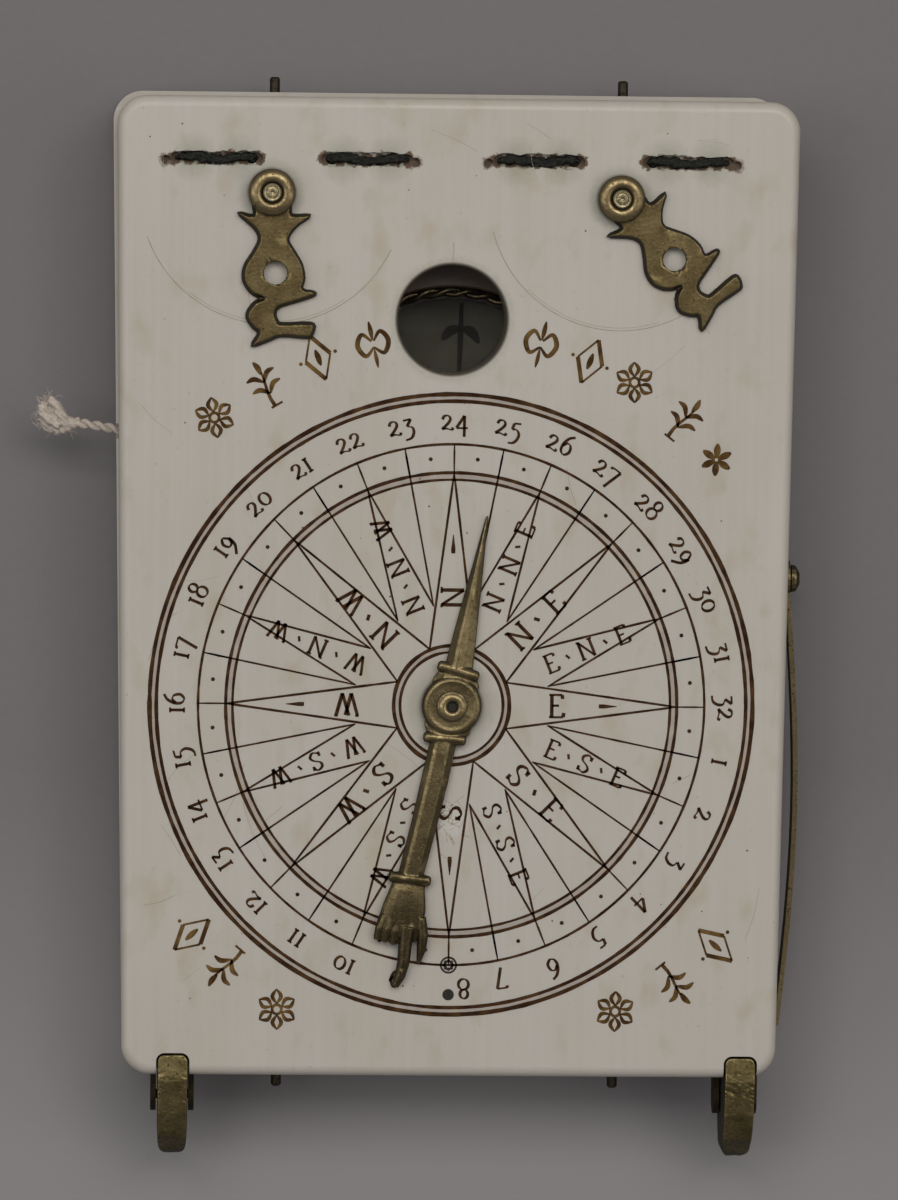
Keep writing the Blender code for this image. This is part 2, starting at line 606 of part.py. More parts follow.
def catches(brass):
    y = FREE_Y - CATCH_OUT
    for side, x in zip(("left", "right"), CATCH_X):
        outline = [(y + u * MM, CATCH_Z + v * MM) for u, v in CATCH_PROFILE]
        made = prism(f"catch_{side}", outline, x - CATCH_HALF - MM, x + CATCH_HALF + MM, brass, "X")
        boolean(made, prism(f"catch_plan_{side}_cutter", catch_plan(x, 0), 0, TOP + MM, None), "INTERSECT")
        boolean(made, cylinder(f"catch_{side}_cutter", y, CATCH_Z, CATCH_PIN_R + FIT,
                               x - 3 * MM, x + 3 * MM, None, "X", 12))
        pivot(made, (x, y, CATCH_Z))
        inner = CATCH_HALF + RUNNING
        outer = inner + CHEEK
        nose = circle(y, CATCH_Z, CHEEK_R, 12, 1.5 * math.pi, 0.5 * math.pi)
        back = FREE_Y + 1.2 * MM
        cheek = [(back, CATCH_Z - CHEEK_R), *nose, (back, CATCH_Z + CHEEK_R)]
        plate = rectangle(FREE_Y + 0.3 * MM, CATCH_Z - CHEEK_R, back, CATCH_Z + CHEEK_R)
        parts = [
            (plate, x - inner - 0.2 * MM, x + inner + 0.2 * MM, "X"),
            (cheek, x - outer, x - inner, "X"),
            (cheek, x + inner, x + outer, "X"),
        ]
        bracket = prisms(f"catch_bracket_{side}", parts, brass)
        boolean(bracket, cylinder(f"bracket_bore_{side}_cutter", y, CATCH_Z, CATCH_PIN_R + 0.05 * MM,
                                  x - 3 * MM, x + 3 * MM, None, "X", 12))
        cylinder(f"catch_pin_{side}", y, CATCH_Z, CATCH_PIN_R, x - outer, x + outer, brass, "X", 12)


def edge_pins(brass):
    """Pins standing out of both edges of the lower leaf, each with a rounded end."""
    root = EDGE_PIN_IN - FIT
    for side, x in zip(("left", "right"), HINGE_EDGE_PINS):
        profile = [(EDGE_PIN_R, HINGE_Y - root), (EDGE_PIN_R, HINGE_Y + 1.9 * MM),
                   (0.35 * MM, HINGE_Y + 2.1 * MM)]
        turned(f"hinge_edge_pin_{side}", profile, (x, EDGE_PIN_Z), brass, 12, "Y")
    for side, x in zip(("left", "right"), FREE_EDGE_PINS):
        profile = [(0.35 * MM, FREE_Y - 2.3 * MM), (EDGE_PIN_R, FREE_Y - 2.1 * MM),
                   (EDGE_PIN_R, FREE_Y + root)]
        turned(f"free_edge_pin_{side}", profile, (x, EDGE_PIN_Z), brass, 12, "Y")


def side_arm(brass):
    """A bowed strip beside the right edge, on a rivet in the lower leaf."""
    edge = half_width(ARM_PIVOT_Y)
    lean = (HINGE_WIDTH - FREE_WIDTH) / 2 / LENGTH
    inner, outer = [], []
    steps = 16
    for i in range(steps + 1):
        share = i / steps
        y = ARM_PIVOT_Y - ARM_START - share * (ARM_LONG - ARM_START)
        x = edge + 0.3 * MM - share * ARM_LONG * lean + ARM_BOW * math.sin(math.pi * share)
        inner.append((x, y))
        outer.append((x + ARM_THICK, y))
    strip = (inner + outer[::-1], ARM_Z - ARM_HALF, ARM_Z + ARM_HALF, "Z")
    eye = (circle(ARM_PIVOT_Y, ARM_Z, ARM_EYE_R, 20), edge + 0.3 * MM, edge + 0.8 * MM, "X")
    made = prisms("side_arm", [strip, eye], brass)
    boolean(made, cylinder("side_arm_cutter", ARM_PIVOT_Y, ARM_Z, 0.8 * MM, edge - MM, edge + 4 * MM,
                           None, "X", 14))
    pivot(made, (edge, ARM_PIVOT_Y, ARM_Z))
    head = edge + 1.0 * MM
    turned("side_arm_rivet", [(0.7 * MM, edge - 4.9 * MM), (0.7 * MM, head), (1.5 * MM, head),
                              (1.4 * MM, head + 0.5 * MM), (0.7 * MM, head + 0.9 * MM)],
           (ARM_PIVOT_Y, ARM_Z), brass, 16, "X")


def build():
    for other in list(bpy.data.objects):
        bpy.data.objects.remove(other, do_unlink=True)
    ivory = material("ivory", (0.62, 0.56, 0.47), 0.4)
    brass = material("brass", (0.36, 0.29, 0.15), 0.42, 1.0)
    dark = material("tarnished_wire", (0.06, 0.06, 0.045), 0.6, 0.6)
    steel = material("blued_steel", (0.08, 0.09, 0.12), 0.35, 1.0)
    card = material("card", (0.55, 0.52, 0.44), 0.8)
    glass = material("glass", (0.9, 0.93, 0.9), 0.05, 0.0, 0.3)
    thread = material("thread", (0.75, 0.71, 0.64), 0.9)
    lower_leaf(ivory)
    upper_leaf(ivory)
    compass(card, brass, steel, glass)
    hinges(brass, dark)
    levers(brass)
    pointer(brass)
    catches(brass)
    edge_pins(brass)
    side_arm(brass)
    gnomon_string(thread)
    string_knot(thread)
    string_peg(brass)


build()
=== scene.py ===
"""Looks for a closed ivory diptych sundial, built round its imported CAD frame.

Units are metres in the CAD's frame: +Z up, +Y to the hinge edge, +X to the right.
"""

import math
import random

import bmesh
import bpy
from mathutils import Matrix, Vector, noise


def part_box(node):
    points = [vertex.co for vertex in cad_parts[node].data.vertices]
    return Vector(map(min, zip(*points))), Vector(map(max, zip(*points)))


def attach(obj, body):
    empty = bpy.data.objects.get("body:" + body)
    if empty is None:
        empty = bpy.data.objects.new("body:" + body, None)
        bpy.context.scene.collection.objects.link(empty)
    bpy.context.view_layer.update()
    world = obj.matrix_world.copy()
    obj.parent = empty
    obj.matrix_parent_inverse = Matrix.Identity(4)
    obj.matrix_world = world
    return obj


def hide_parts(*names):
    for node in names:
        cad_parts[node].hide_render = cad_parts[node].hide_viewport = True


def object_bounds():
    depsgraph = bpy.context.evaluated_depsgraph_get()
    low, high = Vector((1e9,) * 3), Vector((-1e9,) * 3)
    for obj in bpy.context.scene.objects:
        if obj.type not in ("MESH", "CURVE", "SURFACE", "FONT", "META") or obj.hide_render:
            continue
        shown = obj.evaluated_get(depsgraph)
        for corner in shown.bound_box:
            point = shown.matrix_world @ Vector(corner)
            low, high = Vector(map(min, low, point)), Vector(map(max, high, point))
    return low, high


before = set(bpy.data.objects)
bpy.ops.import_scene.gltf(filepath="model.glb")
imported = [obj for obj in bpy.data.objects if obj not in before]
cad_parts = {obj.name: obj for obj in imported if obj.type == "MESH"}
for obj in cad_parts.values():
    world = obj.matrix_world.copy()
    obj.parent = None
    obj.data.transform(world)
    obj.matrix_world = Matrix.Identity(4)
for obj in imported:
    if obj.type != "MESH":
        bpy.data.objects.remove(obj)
CAD_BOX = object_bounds()
MM = 0.001


# Places in mm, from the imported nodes

def corners(node):
    """A node's lowest and highest corners."""
    low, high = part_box(node)
    return low / MM, high / MM


def middle(node):
    low, high = corners(node)
    return (low + high) / 2


def levels(node):
    """A node's lowest and highest z."""
    low, high = corners(node)
    return low.z, high.z


LID_LOW, LID_HIGH = corners("upper_leaf")
TOP = LID_HIGH.z
LID_FLOOR = LID_LOW.z
BASE_TOP = levels("lower_leaf")[1]
HINGE_Y = LID_HIGH.y
FREE_Y = LID_LOW.y
LENGTH = HINGE_Y - FREE_Y
COMPASS = middle("compass_glass")
ROSE = middle("pointer_washer")
LEVER_PIVOTS = {side: middle(f"lever_rivet_{side}") for side in ("left", "right")}
HINGES = {side: middle(f"hinge_pin_{side}") for side in ("left", "right")}
CATCHES = {side: middle(f"catch_pin_{side}") for side in ("left", "right")}

# Sizes shared with the CAD source, in millimetres unless named otherwise
HINGE_WIDTH = 73.0
FREE_WIDTH = 70.5
CORNER = 3.2
EDGE_ROUND = 1.2
STRAIGHT_TO = 22.0  # the leaf's right edge runs straight up to this y
PIT_DROP = 0.25  # how far the pit past a slot's end sits below the slot's middle
BASE_HINGE_END = (-0.45, -1.5, 0.45)
BEVEL = 1.25
WINDOW = (-0.6, 28.9)
WINDOW_R = 5.8
LEVER_TURNS = {"left": 0.0, "right": math.radians(39.0)}
POINTER_TURN = math.radians(-10.0)
STRING_HOLE = (1.0, -12.0)
STRING_R = 0.45
STRING_ROUTE = (
    (0.2, -11.6), (-3.0, -10.4), (-7.5, -7.8), (-12.5, -4.2), (-17.5, 0.3), (-22.0, 5.2),
    (-26.5, 10.2), (-31.0, 14.2), (-35.6, 16.3), (-38.4, 16.9), (-40.6, 17.2),
)
STRING_DROP = (0.0, 0.0, 0.0, 0.0, 0.0, 0.0, 0.0, 0.0, 0.0, -0.35, -1.0)
CHANNEL_DEPTH = 1.25
ROSE_SQUEEZE = 0.97  # the rose is a little narrower than high


# Small tools

def smooth(points, steps, closed=False):
    """A Catmull-Rom curve through points of any dimension."""
    points = [Vector(p) for p in points]
    if closed:
        padded = [points[-1], *points, points[0], points[1]]
    else:
        padded = [points[0] * 2 - points[1], *points, points[-1] * 2 - points[-2]]
    line = []
    for a, b, c, d in zip(padded, padded[1:], padded[2:], padded[3:]):
        for i in range(steps):
            t = i / steps
            line.append(0.5 * (2 * b + (c - a) * t + (2 * a - 5 * b + 4 * c - d) * t * t
                               + (3 * b - a - 3 * c + d) * t ** 3))
    return line if closed else line + [points[-1]]


def circle(u, v, radius, count=48, start=0.0, end=2 * math.pi):
    """Points on a circle, or on an arc with both its ends."""
    whole = abs(end - start) > 2 * math.pi - 1e-6
    steps = count if whole else count - 1
    turns = [start + (end - start) * i / steps for i in range(count)]
    return [(u + radius * math.cos(t), v + radius * math.sin(t)) for t in turns]


def heading(turn):
    """The unit vector at an angle from +X."""
    return Vector((math.cos(turn), math.sin(turn)))


def rectangle(u0, v0, u1, v1):
    return [(u0, v0), (u1, v0), (u1, v1), (u0, v1)]


def turned_about(outline, centre, angle):
    c, s = math.cos(angle), math.sin(angle)
    return [(centre[0] + u * c - v * s, centre[1] + u * s + v * c) for u, v in outline]


def placed(outline, height, axis):
    """Outline points in mm at a height along an axis: (x, y) for Z, (y, z) for X, (x, z) for Y."""
    if axis == "X":
        return [(height * MM, u * MM, v * MM) for u, v in outline]
    if axis == "Y":
        return [(u * MM, height * MM, v * MM) for u, v in outline]
    return [(u * MM, v * MM, height * MM) for u, v in outline]


def band(bm, low, high):
    """Adds the band of faces between two closed loops of vertices."""
    for i in range(len(low)):
        j = (i + 1) % len(low)
        bm.faces.new((low[i], low[j], high[j], high[i]))


def loft_into(bm, rings):
    """Adds the closed solid through rings of points, all with the same count."""
    loops = [[bm.verts.new(p) for p in ring] for ring in rings]
    for low, high in zip(loops, loops[1:]):
        band(bm, low, high)
    bm.faces.new(list(reversed(loops[0])))
    bm.faces.new(loops[-1])


def made_from(name, bm, angle=35):
    """Turns a bmesh into a smooth-shaded object with outward faces."""
    bmesh.ops.recalc_face_normals(bm, faces=bm.faces)
    mesh = bpy.data.meshes.new(name)
    bm.to_mesh(mesh)
    bm.free()
    mesh.shade_smooth()
    if angle:
        mesh.set_sharp_from_angle(angle=math.radians(angle))
    made = bpy.data.objects.new(name, mesh)
    bpy.context.scene.collection.objects.link(made)
    return made


def prism(name, outline, low, high, axis="Z"):
    bm = bmesh.new()
    loft_into(bm, [placed(outline, low, axis), placed(outline, high, axis)])
    return made_from(name, bm)


def turned(name, profile, centre, count=56, axis="Z"):
    """A turned solid from (radius, height) points in mm about a centre in mm."""
    bm = bmesh.new()
    rings = []
    for radius, height in profile:
        outline = circle(centre[0], centre[1], max(radius, 1e-4), count)
        rings.append([bm.verts.new(p) for p in placed(outline, height, axis)])
    for low, high in zip(rings, rings[1:]):
        band(bm, low, high)
    if profile[0] == profile[-1]:
        bmesh.ops.remove_doubles(bm, verts=bm.verts, dist=1e-8)
    else:
        bm.faces.new(list(reversed(rings[0])))
        bm.faces.new(rings[-1])
    return made_from(name, bm)


def way_along(line, i):
    """The way an open line runs at its point i, not of unit length."""
    return line[min(i + 1, len(line) - 1)] - line[max(i - 1, 0)]


def frames_along(line):
    """Two unit vectors across the line at each of its points, which twist as little as they can."""
    side = None
    for i in range(len(line)):
        along = way_along(line, i).normalized()
        if side is None:
            side = along.orthogonal().normalized()
        side = (side - along * side.dot(along)).normalized()
        yield side, along.cross(side)


def tube_into(bm, line, radii, sides=8):
    """Adds a closed tube along a line of points in metres."""
    turns = [2 * math.pi * k / sides for k in range(sides)]
    rings = []
    for p, radius, (side, other) in zip(line, radii, frames_along(line)):
        rings.append([p + (side * math.cos(t) + other * math.sin(t)) * radius for t in turns])
    loft_into(bm, rings)


def apply_all(made):
    """Replaces an object's mesh by what its modifiers make of it."""
    bpy.context.view_layer.update()
    depsgraph = bpy.context.evaluated_depsgraph_get()
    mesh = bpy.data.meshes.new_from_object(made.evaluated_get(depsgraph))
    made.modifiers.clear()
    made.data = mesh
    return made


def cut(target, cutters, operation="DIFFERENCE"):
    """Cuts the cutters out of target, or joins them to it, and removes them."""
    for cutter in cutters:
        modifier = target.modifiers.new("cut", "BOOLEAN")
        modifier.operation = operation
        modifier.object = cutter
    apply_all(target)
    for cutter in cutters:
        bpy.data.objects.remove(cutter, do_unlink=True)
    return target


def cast(name, parts, voxel, rounds, keep=0.5, rough=0.0):
    """Joins overlapping solids into one soft-edged casting."""
    joined = bmesh.new()
    for part in parts:
        joined.from_mesh(part.data)
        bpy.data.objects.remove(part, do_unlink=True)
    made = made_from(name, joined, None)
    modifier = made.modifiers.new("remesh", "REMESH")
    modifier.mode = "VOXEL"
    modifier.voxel_size = voxel * MM
    modifier.use_smooth_shade = True
    modifier = made.modifiers.new("smooth", "SMOOTH")
    modifier.factor = 0.5
    modifier.iterations = rounds
    modifier = made.modifiers.new("decimate", "DECIMATE")
    modifier.ratio = keep
    apply_all(made)
    if rough:
        for vertex in made.data.vertices:
            push = noise.fractal(vertex.co * 900, 1.0, 2.0, 4)
            vertex.co += vertex.normal * push * rough * MM
    made.data.shade_smooth()
    return made


def shade_by_angle(made):
    """Keeps a cut solid's sharp edges sharp and its flat faces flat."""
    made.data.set_sharp_from_angle(angle=math.radians(35))
    made.modifiers.new("normals", "WEIGHTED_NORMAL").keep_sharp = True
    return made


def piece(made, body, mat, stands_for=()):
    """Finishes a piece: its material, the body it rides on, and the CAD nodes it stands for."""
    made.data.materials.clear()
    made.data.materials.append(mat)
    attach(made, body)
    if stands_for:
        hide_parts(*stands_for)
    return made


# Camera, light and floor

CAMERA_AT = Vector((-0.0362, 0.0505, 0.814))
CAMERA_LOOKS_AT = Vector((-0.0006, -0.0011, 0.014))
CAMERA_LENS = 224.8
CAMERA_ROLL = math.radians(0.67)


def add_camera():
    data = bpy.data.cameras.new("camera")
    data.lens = CAMERA_LENS
    data.sensor_width = 36.0
    data.clip_start = 0.05
    camera = bpy.data.objects.new("camera", data)
    bpy.context.scene.collection.objects.link(camera)
    back = (CAMERA_AT - CAMERA_LOOKS_AT).normalized()
    right = Vector((0, 1, 0)).cross(back).normalized()
    up = back.cross(right)
    turn = Matrix((right, up, back)).transposed() @ Matrix.Rotation(CAMERA_ROLL, 3, "Z")
    camera.matrix_world = Matrix.Translation(CAMERA_AT) @ turn.to_4x4()
    bpy.context.scene.camera = camera


def area_light(name, place, target, size, power, colour=(1, 1, 1)):
    data = bpy.data.lights.new(name, "AREA")
    data.shape = "RECTANGLE"
    data.size, data.size_y = size
    data.energy = power
    data.color = colour
    light = bpy.data.objects.new(name, data)
    bpy.context.scene.collection.objects.link(light)
    light.location = place
    light.rotation_euler = (Vector(target) - Vector(place)).to_track_quat("-Z", "Y").to_euler()


def add_light():
    area_light("main_light", (0.05, 0.5, 1.0), (0, 0, 0), (1.4, 0.5), 6.6, (1.0, 0.985, 0.965))
    area_light("left_fill", (-0.75, 0.05, 0.8), (0, 0, 0), (0.5, 0.9), 2.0, (0.98, 0.985, 1.0))
    area_light("right_fill", (0.75, -0.05, 0.75), (0, 0, 0), (0.5, 0.9), 1.2, (1.0, 0.985, 0.97))
    world = bpy.data.worlds.new("studio")
    world.use_nodes = True
    shade = world.node_tree.nodes["Background"]
    shade.inputs["Color"].default_value = (0.97, 0.96, 1.0, 1)
    shade.inputs["Strength"].default_value = 0.15
    bpy.context.scene.world = world
    bpy.context.scene.view_settings.view_transform = "Standard"


def add_floor():
    bm = bmesh.new()
    bmesh.ops.create_grid(bm, x_segments=1, y_segments=1, size=1.6)
    floor = made_from("floor", bm)
    floor.data.materials.append(floor_material())


# Materials

def node(tree, kind, inputs=None, **settings):
    """Adds a node; an input is a number, a colour or another node's output."""
    made = tree.nodes.new(kind)
    for key, value in settings.items():
        setattr(made, key, value)
    for key, value in (inputs or {}).items():
        if isinstance(value, bpy.types.NodeSocket):
            tree.links.new(value, made.inputs[key])
        else:
            made.inputs[key].default_value = value
    return made


def in_mm(tree, stretch=(1, 1, 1), turn=0.0):
    """The piece's own coordinates in mm, stretched and turned about Z."""
    place = node(tree, "ShaderNodeTexCoord").outputs["Object"]
    scale = [s / MM for s in stretch]
    made = node(tree, "ShaderNodeMapping", {"Vector": place, "Scale": scale, "Rotation": (0, 0, turn)})
    return made.outputs[0]


def speckle(tree, where, scale, detail=4.0, low=0.35, high=0.65):
    """Noise spread over 0 to 1 between two levels."""
    grain = node(tree, "ShaderNodeTexNoise", {"Vector": where, "Scale": scale, "Detail": detail})
    return span(tree, grain.outputs["Fac"], low, high)


def span(tree, value, low, high, to_low=0.0, to_high=1.0):
    limits = {"Value": value, "From Min": low, "From Max": high, "To Min": to_low, "To Max": to_high}
    return node(tree, "ShaderNodeMapRange", limits).outputs[0]


def maths(tree, operation, a, b=0.0):
    return node(tree, "ShaderNodeMath", {0: a, 1: b}, operation=operation).outputs[0]


def mix(tree, share, a, b, blend="MIX"):
    made = node(tree, "ShaderNodeMix", data_type="RGBA", blend_type=blend)
    for key, value in ((0, share), (6, a), (7, b)):
        if isinstance(value, bpy.types.NodeSocket):
            tree.links.new(value, made.inputs[key])
        else:
            made.inputs[key].default_value = value if key == 0 else (*value, 1)
    return made.outputs[2]


def bumped(tree, *layers):
    """Bump from (height, strength, depth in mm) layers, each on the one before."""
    normal = None
    for height, strength, depth in layers:
        inputs = {"Height": height, "Strength": strength, "Distance": depth * MM}
        if normal:
            inputs["Normal"] = normal
        normal = node(tree, "ShaderNodeBump", inputs).outputs[0]
    return normal


def new_material(name):
    mat = bpy.data.materials.new(name)
    mat.use_nodes = True
    return mat, mat.node_tree, mat.node_tree.nodes["Principled BSDF"]


def connect(tree, shader, **values):
    for key, value in values.items():
        socket = shader.inputs[key.replace("_", " ")]
        if isinstance(value, bpy.types.NodeSocket):
            tree.links.new(value, socket)
        else:
            socket.default_value = value


def spots(tree, where, places, ragged):
    """A mask that fades from 1 at each (x, y) to 0 at its reach, with a ragged edge."""
    flat = node(tree, "ShaderNodeVectorMath", {0: where, 1: (1, 1, 0)}, operation="MULTIPLY").outputs[0]
    total = None
    for x, y, core, reach in places:
        away = node(tree, "ShaderNodeVectorMath", {0: flat, 1: (x, y, 0)}, operation="DISTANCE")
        away = maths(tree, "ADD", away.outputs["Value"], ragged)
        mask = span(tree, away, core, reach, 1.0, 0.0)
        total = mask if total is None else maths(tree, "MAXIMUM", total, mask)
    return total


def upward(tree):
    """How far a face looks up, from 1 through 0 on a side to -1."""
    normal = node(tree, "ShaderNodeTexCoord").outputs["Normal"]
    return node(tree, "ShaderNodeSeparateXYZ", {0: normal}).outputs[2]


def ivory_material(name, brown=(), green=(), pale=(), rims=()):
    """Old ivory: grain along Y, yellow streaks, specks, scratches, and stains or painted shade at given
    places.
    """
    mat, tree, shader = new_material(name)
    where = in_mm(tree)
    grain = speckle(tree, in_mm(tree, (1.6, 0.03, 1.6)), 1.0, 5, 0.3, 0.7)
    bands = speckle(tree, in_mm(tree, (0.16, 0.012, 0.3)), 1.0, 3, 0.35, 0.7)
    cloud = speckle(tree, where, 0.05, 3, 0.35, 0.7)
    fleck = speckle(tree, where, 1.7, 2, 0.70, 0.78)
    patch = speckle(tree, in_mm(tree, (0.30, 0.17, 0.3)), 1.0, 6, 0.56, 0.78)
    colour = mix(tree, grain, (0.530, 0.487, 0.421), (0.558, 0.517, 0.455))
    colour = mix(tree, maths(tree, "MULTIPLY", bands, 0.45), colour, (0.520, 0.458, 0.360))
    colour = mix(tree, maths(tree, "MULTIPLY", cloud, 0.35), colour, (0.585, 0.552, 0.498))
    colour = mix(tree, maths(tree, "MULTIPLY", patch, 0.8), colour, (0.470, 0.405, 0.290))
    colour = mix(tree, maths(tree, "MULTIPLY", fleck, 0.3), colour, (0.29, 0.22, 0.14))
    ragged = span(tree, speckle(tree, where, 1.9, 5, 0.3, 0.7), 0.0, 1.0, -0.24, 0.24)
    above = span(tree, upward(tree), -0.9, -0.5)
    # On the lid these tints are stains; on the base, brown and rims both carry painted shade round the
    # compass.
    for places, edge, tint, depth in ((pale, ragged, (0.65, 0.62, 0.555), 0.6),
                                      (green, ragged, (0.27, 0.28, 0.18), 0.45),
                                      (brown, ragged, (0.085, 0.036, 0.002), 0.95),
                                      (rims, 0.0, (0.060, 0.040, 0.024), 0.85)):
        if places:
            mask = maths(tree, "MULTIPLY", spots(tree, where, places, edge), depth)
            colour = mix(tree, maths(tree, "MULTIPLY", mask, above), colour, tint)
    hair = speckle(tree, in_mm(tree, (0.9, 0.05, 0.9), 0.35), 1.0, 2, 0.60, 0.66)
    hair_b = speckle(tree, in_mm(tree, (0.8, 0.04, 0.8), -0.9), 1.0, 2, 0.62, 0.67)
    scratch = maths(tree, "ADD", hair, hair_b)
    fine = speckle(tree, in_mm(tree, (9, 1.2, 9)), 1.0, 3, 0.3, 0.7)
    normal = bumped(tree, (fine, 0.25, 0.02), (scratch, 0.25, 0.015))
    rough = span(tree, cloud, 0, 1, 0.36, 0.5)
    connect(tree, shader, Base_Color=colour, Roughness=rough, Normal=normal, IOR=1.54)
    connect(tree, shader, Subsurface_Weight=0.12, Subsurface_Radius=(0.0016, 0.0011, 0.0007))
    connect(tree, shader, Subsurface_Scale=1.0)
    return mat


def brass_material(name, dark, middle_tone, bright, rough=(0.34, 0.52), pits=0.5, red=0.0, mottled=0.45,
                   darker_to=None):
    """Old brass: brown patina, mottled, worn bright on its edges, and painted darker on its sides as shade.

    It darkens from one y to another where darker_to is given.
    """
    mat, tree, shader = new_material(name)
    where = in_mm(tree)
    blotch = speckle(tree, where, 0.45, 5, 0.32, 0.68)
    mottle = speckle(tree, where, 2.6, 4, 0.35, 0.65)
    colour = mix(tree, blotch, middle_tone, bright)
    colour = mix(tree, maths(tree, "MULTIPLY", mottle, mottled), colour, dark)
    if darker_to:
        y = node(tree, "ShaderNodeSeparateXYZ", {0: where}).outputs[1]
        colour = mix(tree, span(tree, y, *darker_to, 0.0, 0.6), colour, dark)
    if red:
        warm = maths(tree, "MULTIPLY", speckle(tree, where, 0.8, 2, 0.4, 0.7), red)
        colour = mix(tree, warm, colour, (0.30, 0.13, 0.07))
    edge = span(tree, node(tree, "ShaderNodeNewGeometry").outputs["Pointiness"], 0.51, 0.60, 0.0, 0.6)
    colour = mix(tree, edge, colour, tuple(min(1.0, c * 1.7) for c in bright))
    # Painted shade: faces that turn away from up are darkened by the way they face; the same mask also makes
    # them less metallic and rougher.
    painted_side_shade = span(tree, upward(tree), 0.93, 0.45, 0.0, 0.9)
    colour = mix(tree, painted_side_shade, colour, tuple(c * 0.35 for c in dark))
    pit = speckle(tree, where, 3.2, 3, 0.62, 0.72)
    colour = mix(tree, maths(tree, "MULTIPLY", pit, 1.6 * mottled), colour, tuple(c * 0.5 for c in dark))
    scratch = speckle(tree, in_mm(tree, (7, 0.4, 7), 0.5), 1.0, 2, 0.4, 0.6)
    unpitted = maths(tree, "SUBTRACT", 1.0, pit)
    normal = bumped(tree, (mottle, 0.25, 0.04), (unpitted, pits, 0.08), (scratch, 0.12, 0.02))
    metal = span(tree, painted_side_shade, 0.0, 1.0, 0.92, 0.35)
    surface = span(tree, mottle, 0.0, 1.0, *rough)
    surface = maths(tree, "MAXIMUM", surface, maths(tree, "MULTIPLY", painted_side_shade, 0.7))
    connect(tree, shader, Base_Color=colour, Metallic=metal, Roughness=surface, Normal=normal)
    return mat


def ink_material(name, colour, other, strength=0.6):
    """Engraved lines filled with old ink, worn thin in places."""
    mat, tree, shader = new_material(name)
    where = in_mm(tree)
    worn = maths(tree, "MULTIPLY", speckle(tree, where, 0.7, 5, 0.40, 0.72), strength)
    tone = mix(tree, worn, colour, other)
    normal = bumped(tree, (speckle(tree, where, 9.0, 2), 0.5, 0.03))
    connect(tree, shader, Base_Color=tone, Roughness=0.85, Specular_IOR_Level=0.12, Normal=normal)
    return mat


def simple_material(name, colour, other, scale, roughness, metallic=0.0, depth=0.04):
    """Two tones mottled at one scale, with bump to match."""
    mat, tree, shader = new_material(name)
    where = in_mm(tree)
    mottle = speckle(tree, where, scale, 5, 0.3, 0.7)
    normal = bumped(tree, (mottle, 0.6, depth))
    connect(tree, shader, Base_Color=mix(tree, mottle, colour, other), Roughness=roughness,
            Metallic=metallic, Normal=normal)
    return mat


def glass_material():
    mat, tree, shader = new_material("old_glass")
    smear = speckle(tree, in_mm(tree), 0.3, 4, 0.3, 0.7)
    connect(tree, shader, Base_Color=(0.84, 0.835, 0.79, 1), Roughness=span(tree, smear, 0, 1, 0.03, 0.16),
            Transmission_Weight=1.0, IOR=1.3)
    return mat


def floor_material():
    mat, tree, shader = new_material("paper_floor")
    place = node(tree, "ShaderNodeTexCoord").outputs["Object"]
    y = node(tree, "ShaderNodeSeparateXYZ", {0: place}).outputs[1]
    # Painted light and shade: the floor is painted brighter in front of the free edge, past y = -62 mm, and
    # darker from y = -20 mm back, under and behind the dial.
    near = span(tree, y, -0.062, -0.02)
    tone = mix(tree, near, (0.300, 0.284, 0.282), (0.200, 0.188, 0.188))
    grain = speckle(tree, place, 900.0, 3)
    tone = mix(tree, maths(tree, "MULTIPLY", grain, 0.05), tone, (0.30, 0.30, 0.30))
    connect(tree, shader, Base_Color=tone, Roughness=0.9, Normal=bumped(tree, (grain, 0.1, 0.05)))
    return mat


# Engraved marks: closed thin strips that stand a hair above a face

MARK_RISE = 0.012
MARK_SUNK = 0.05


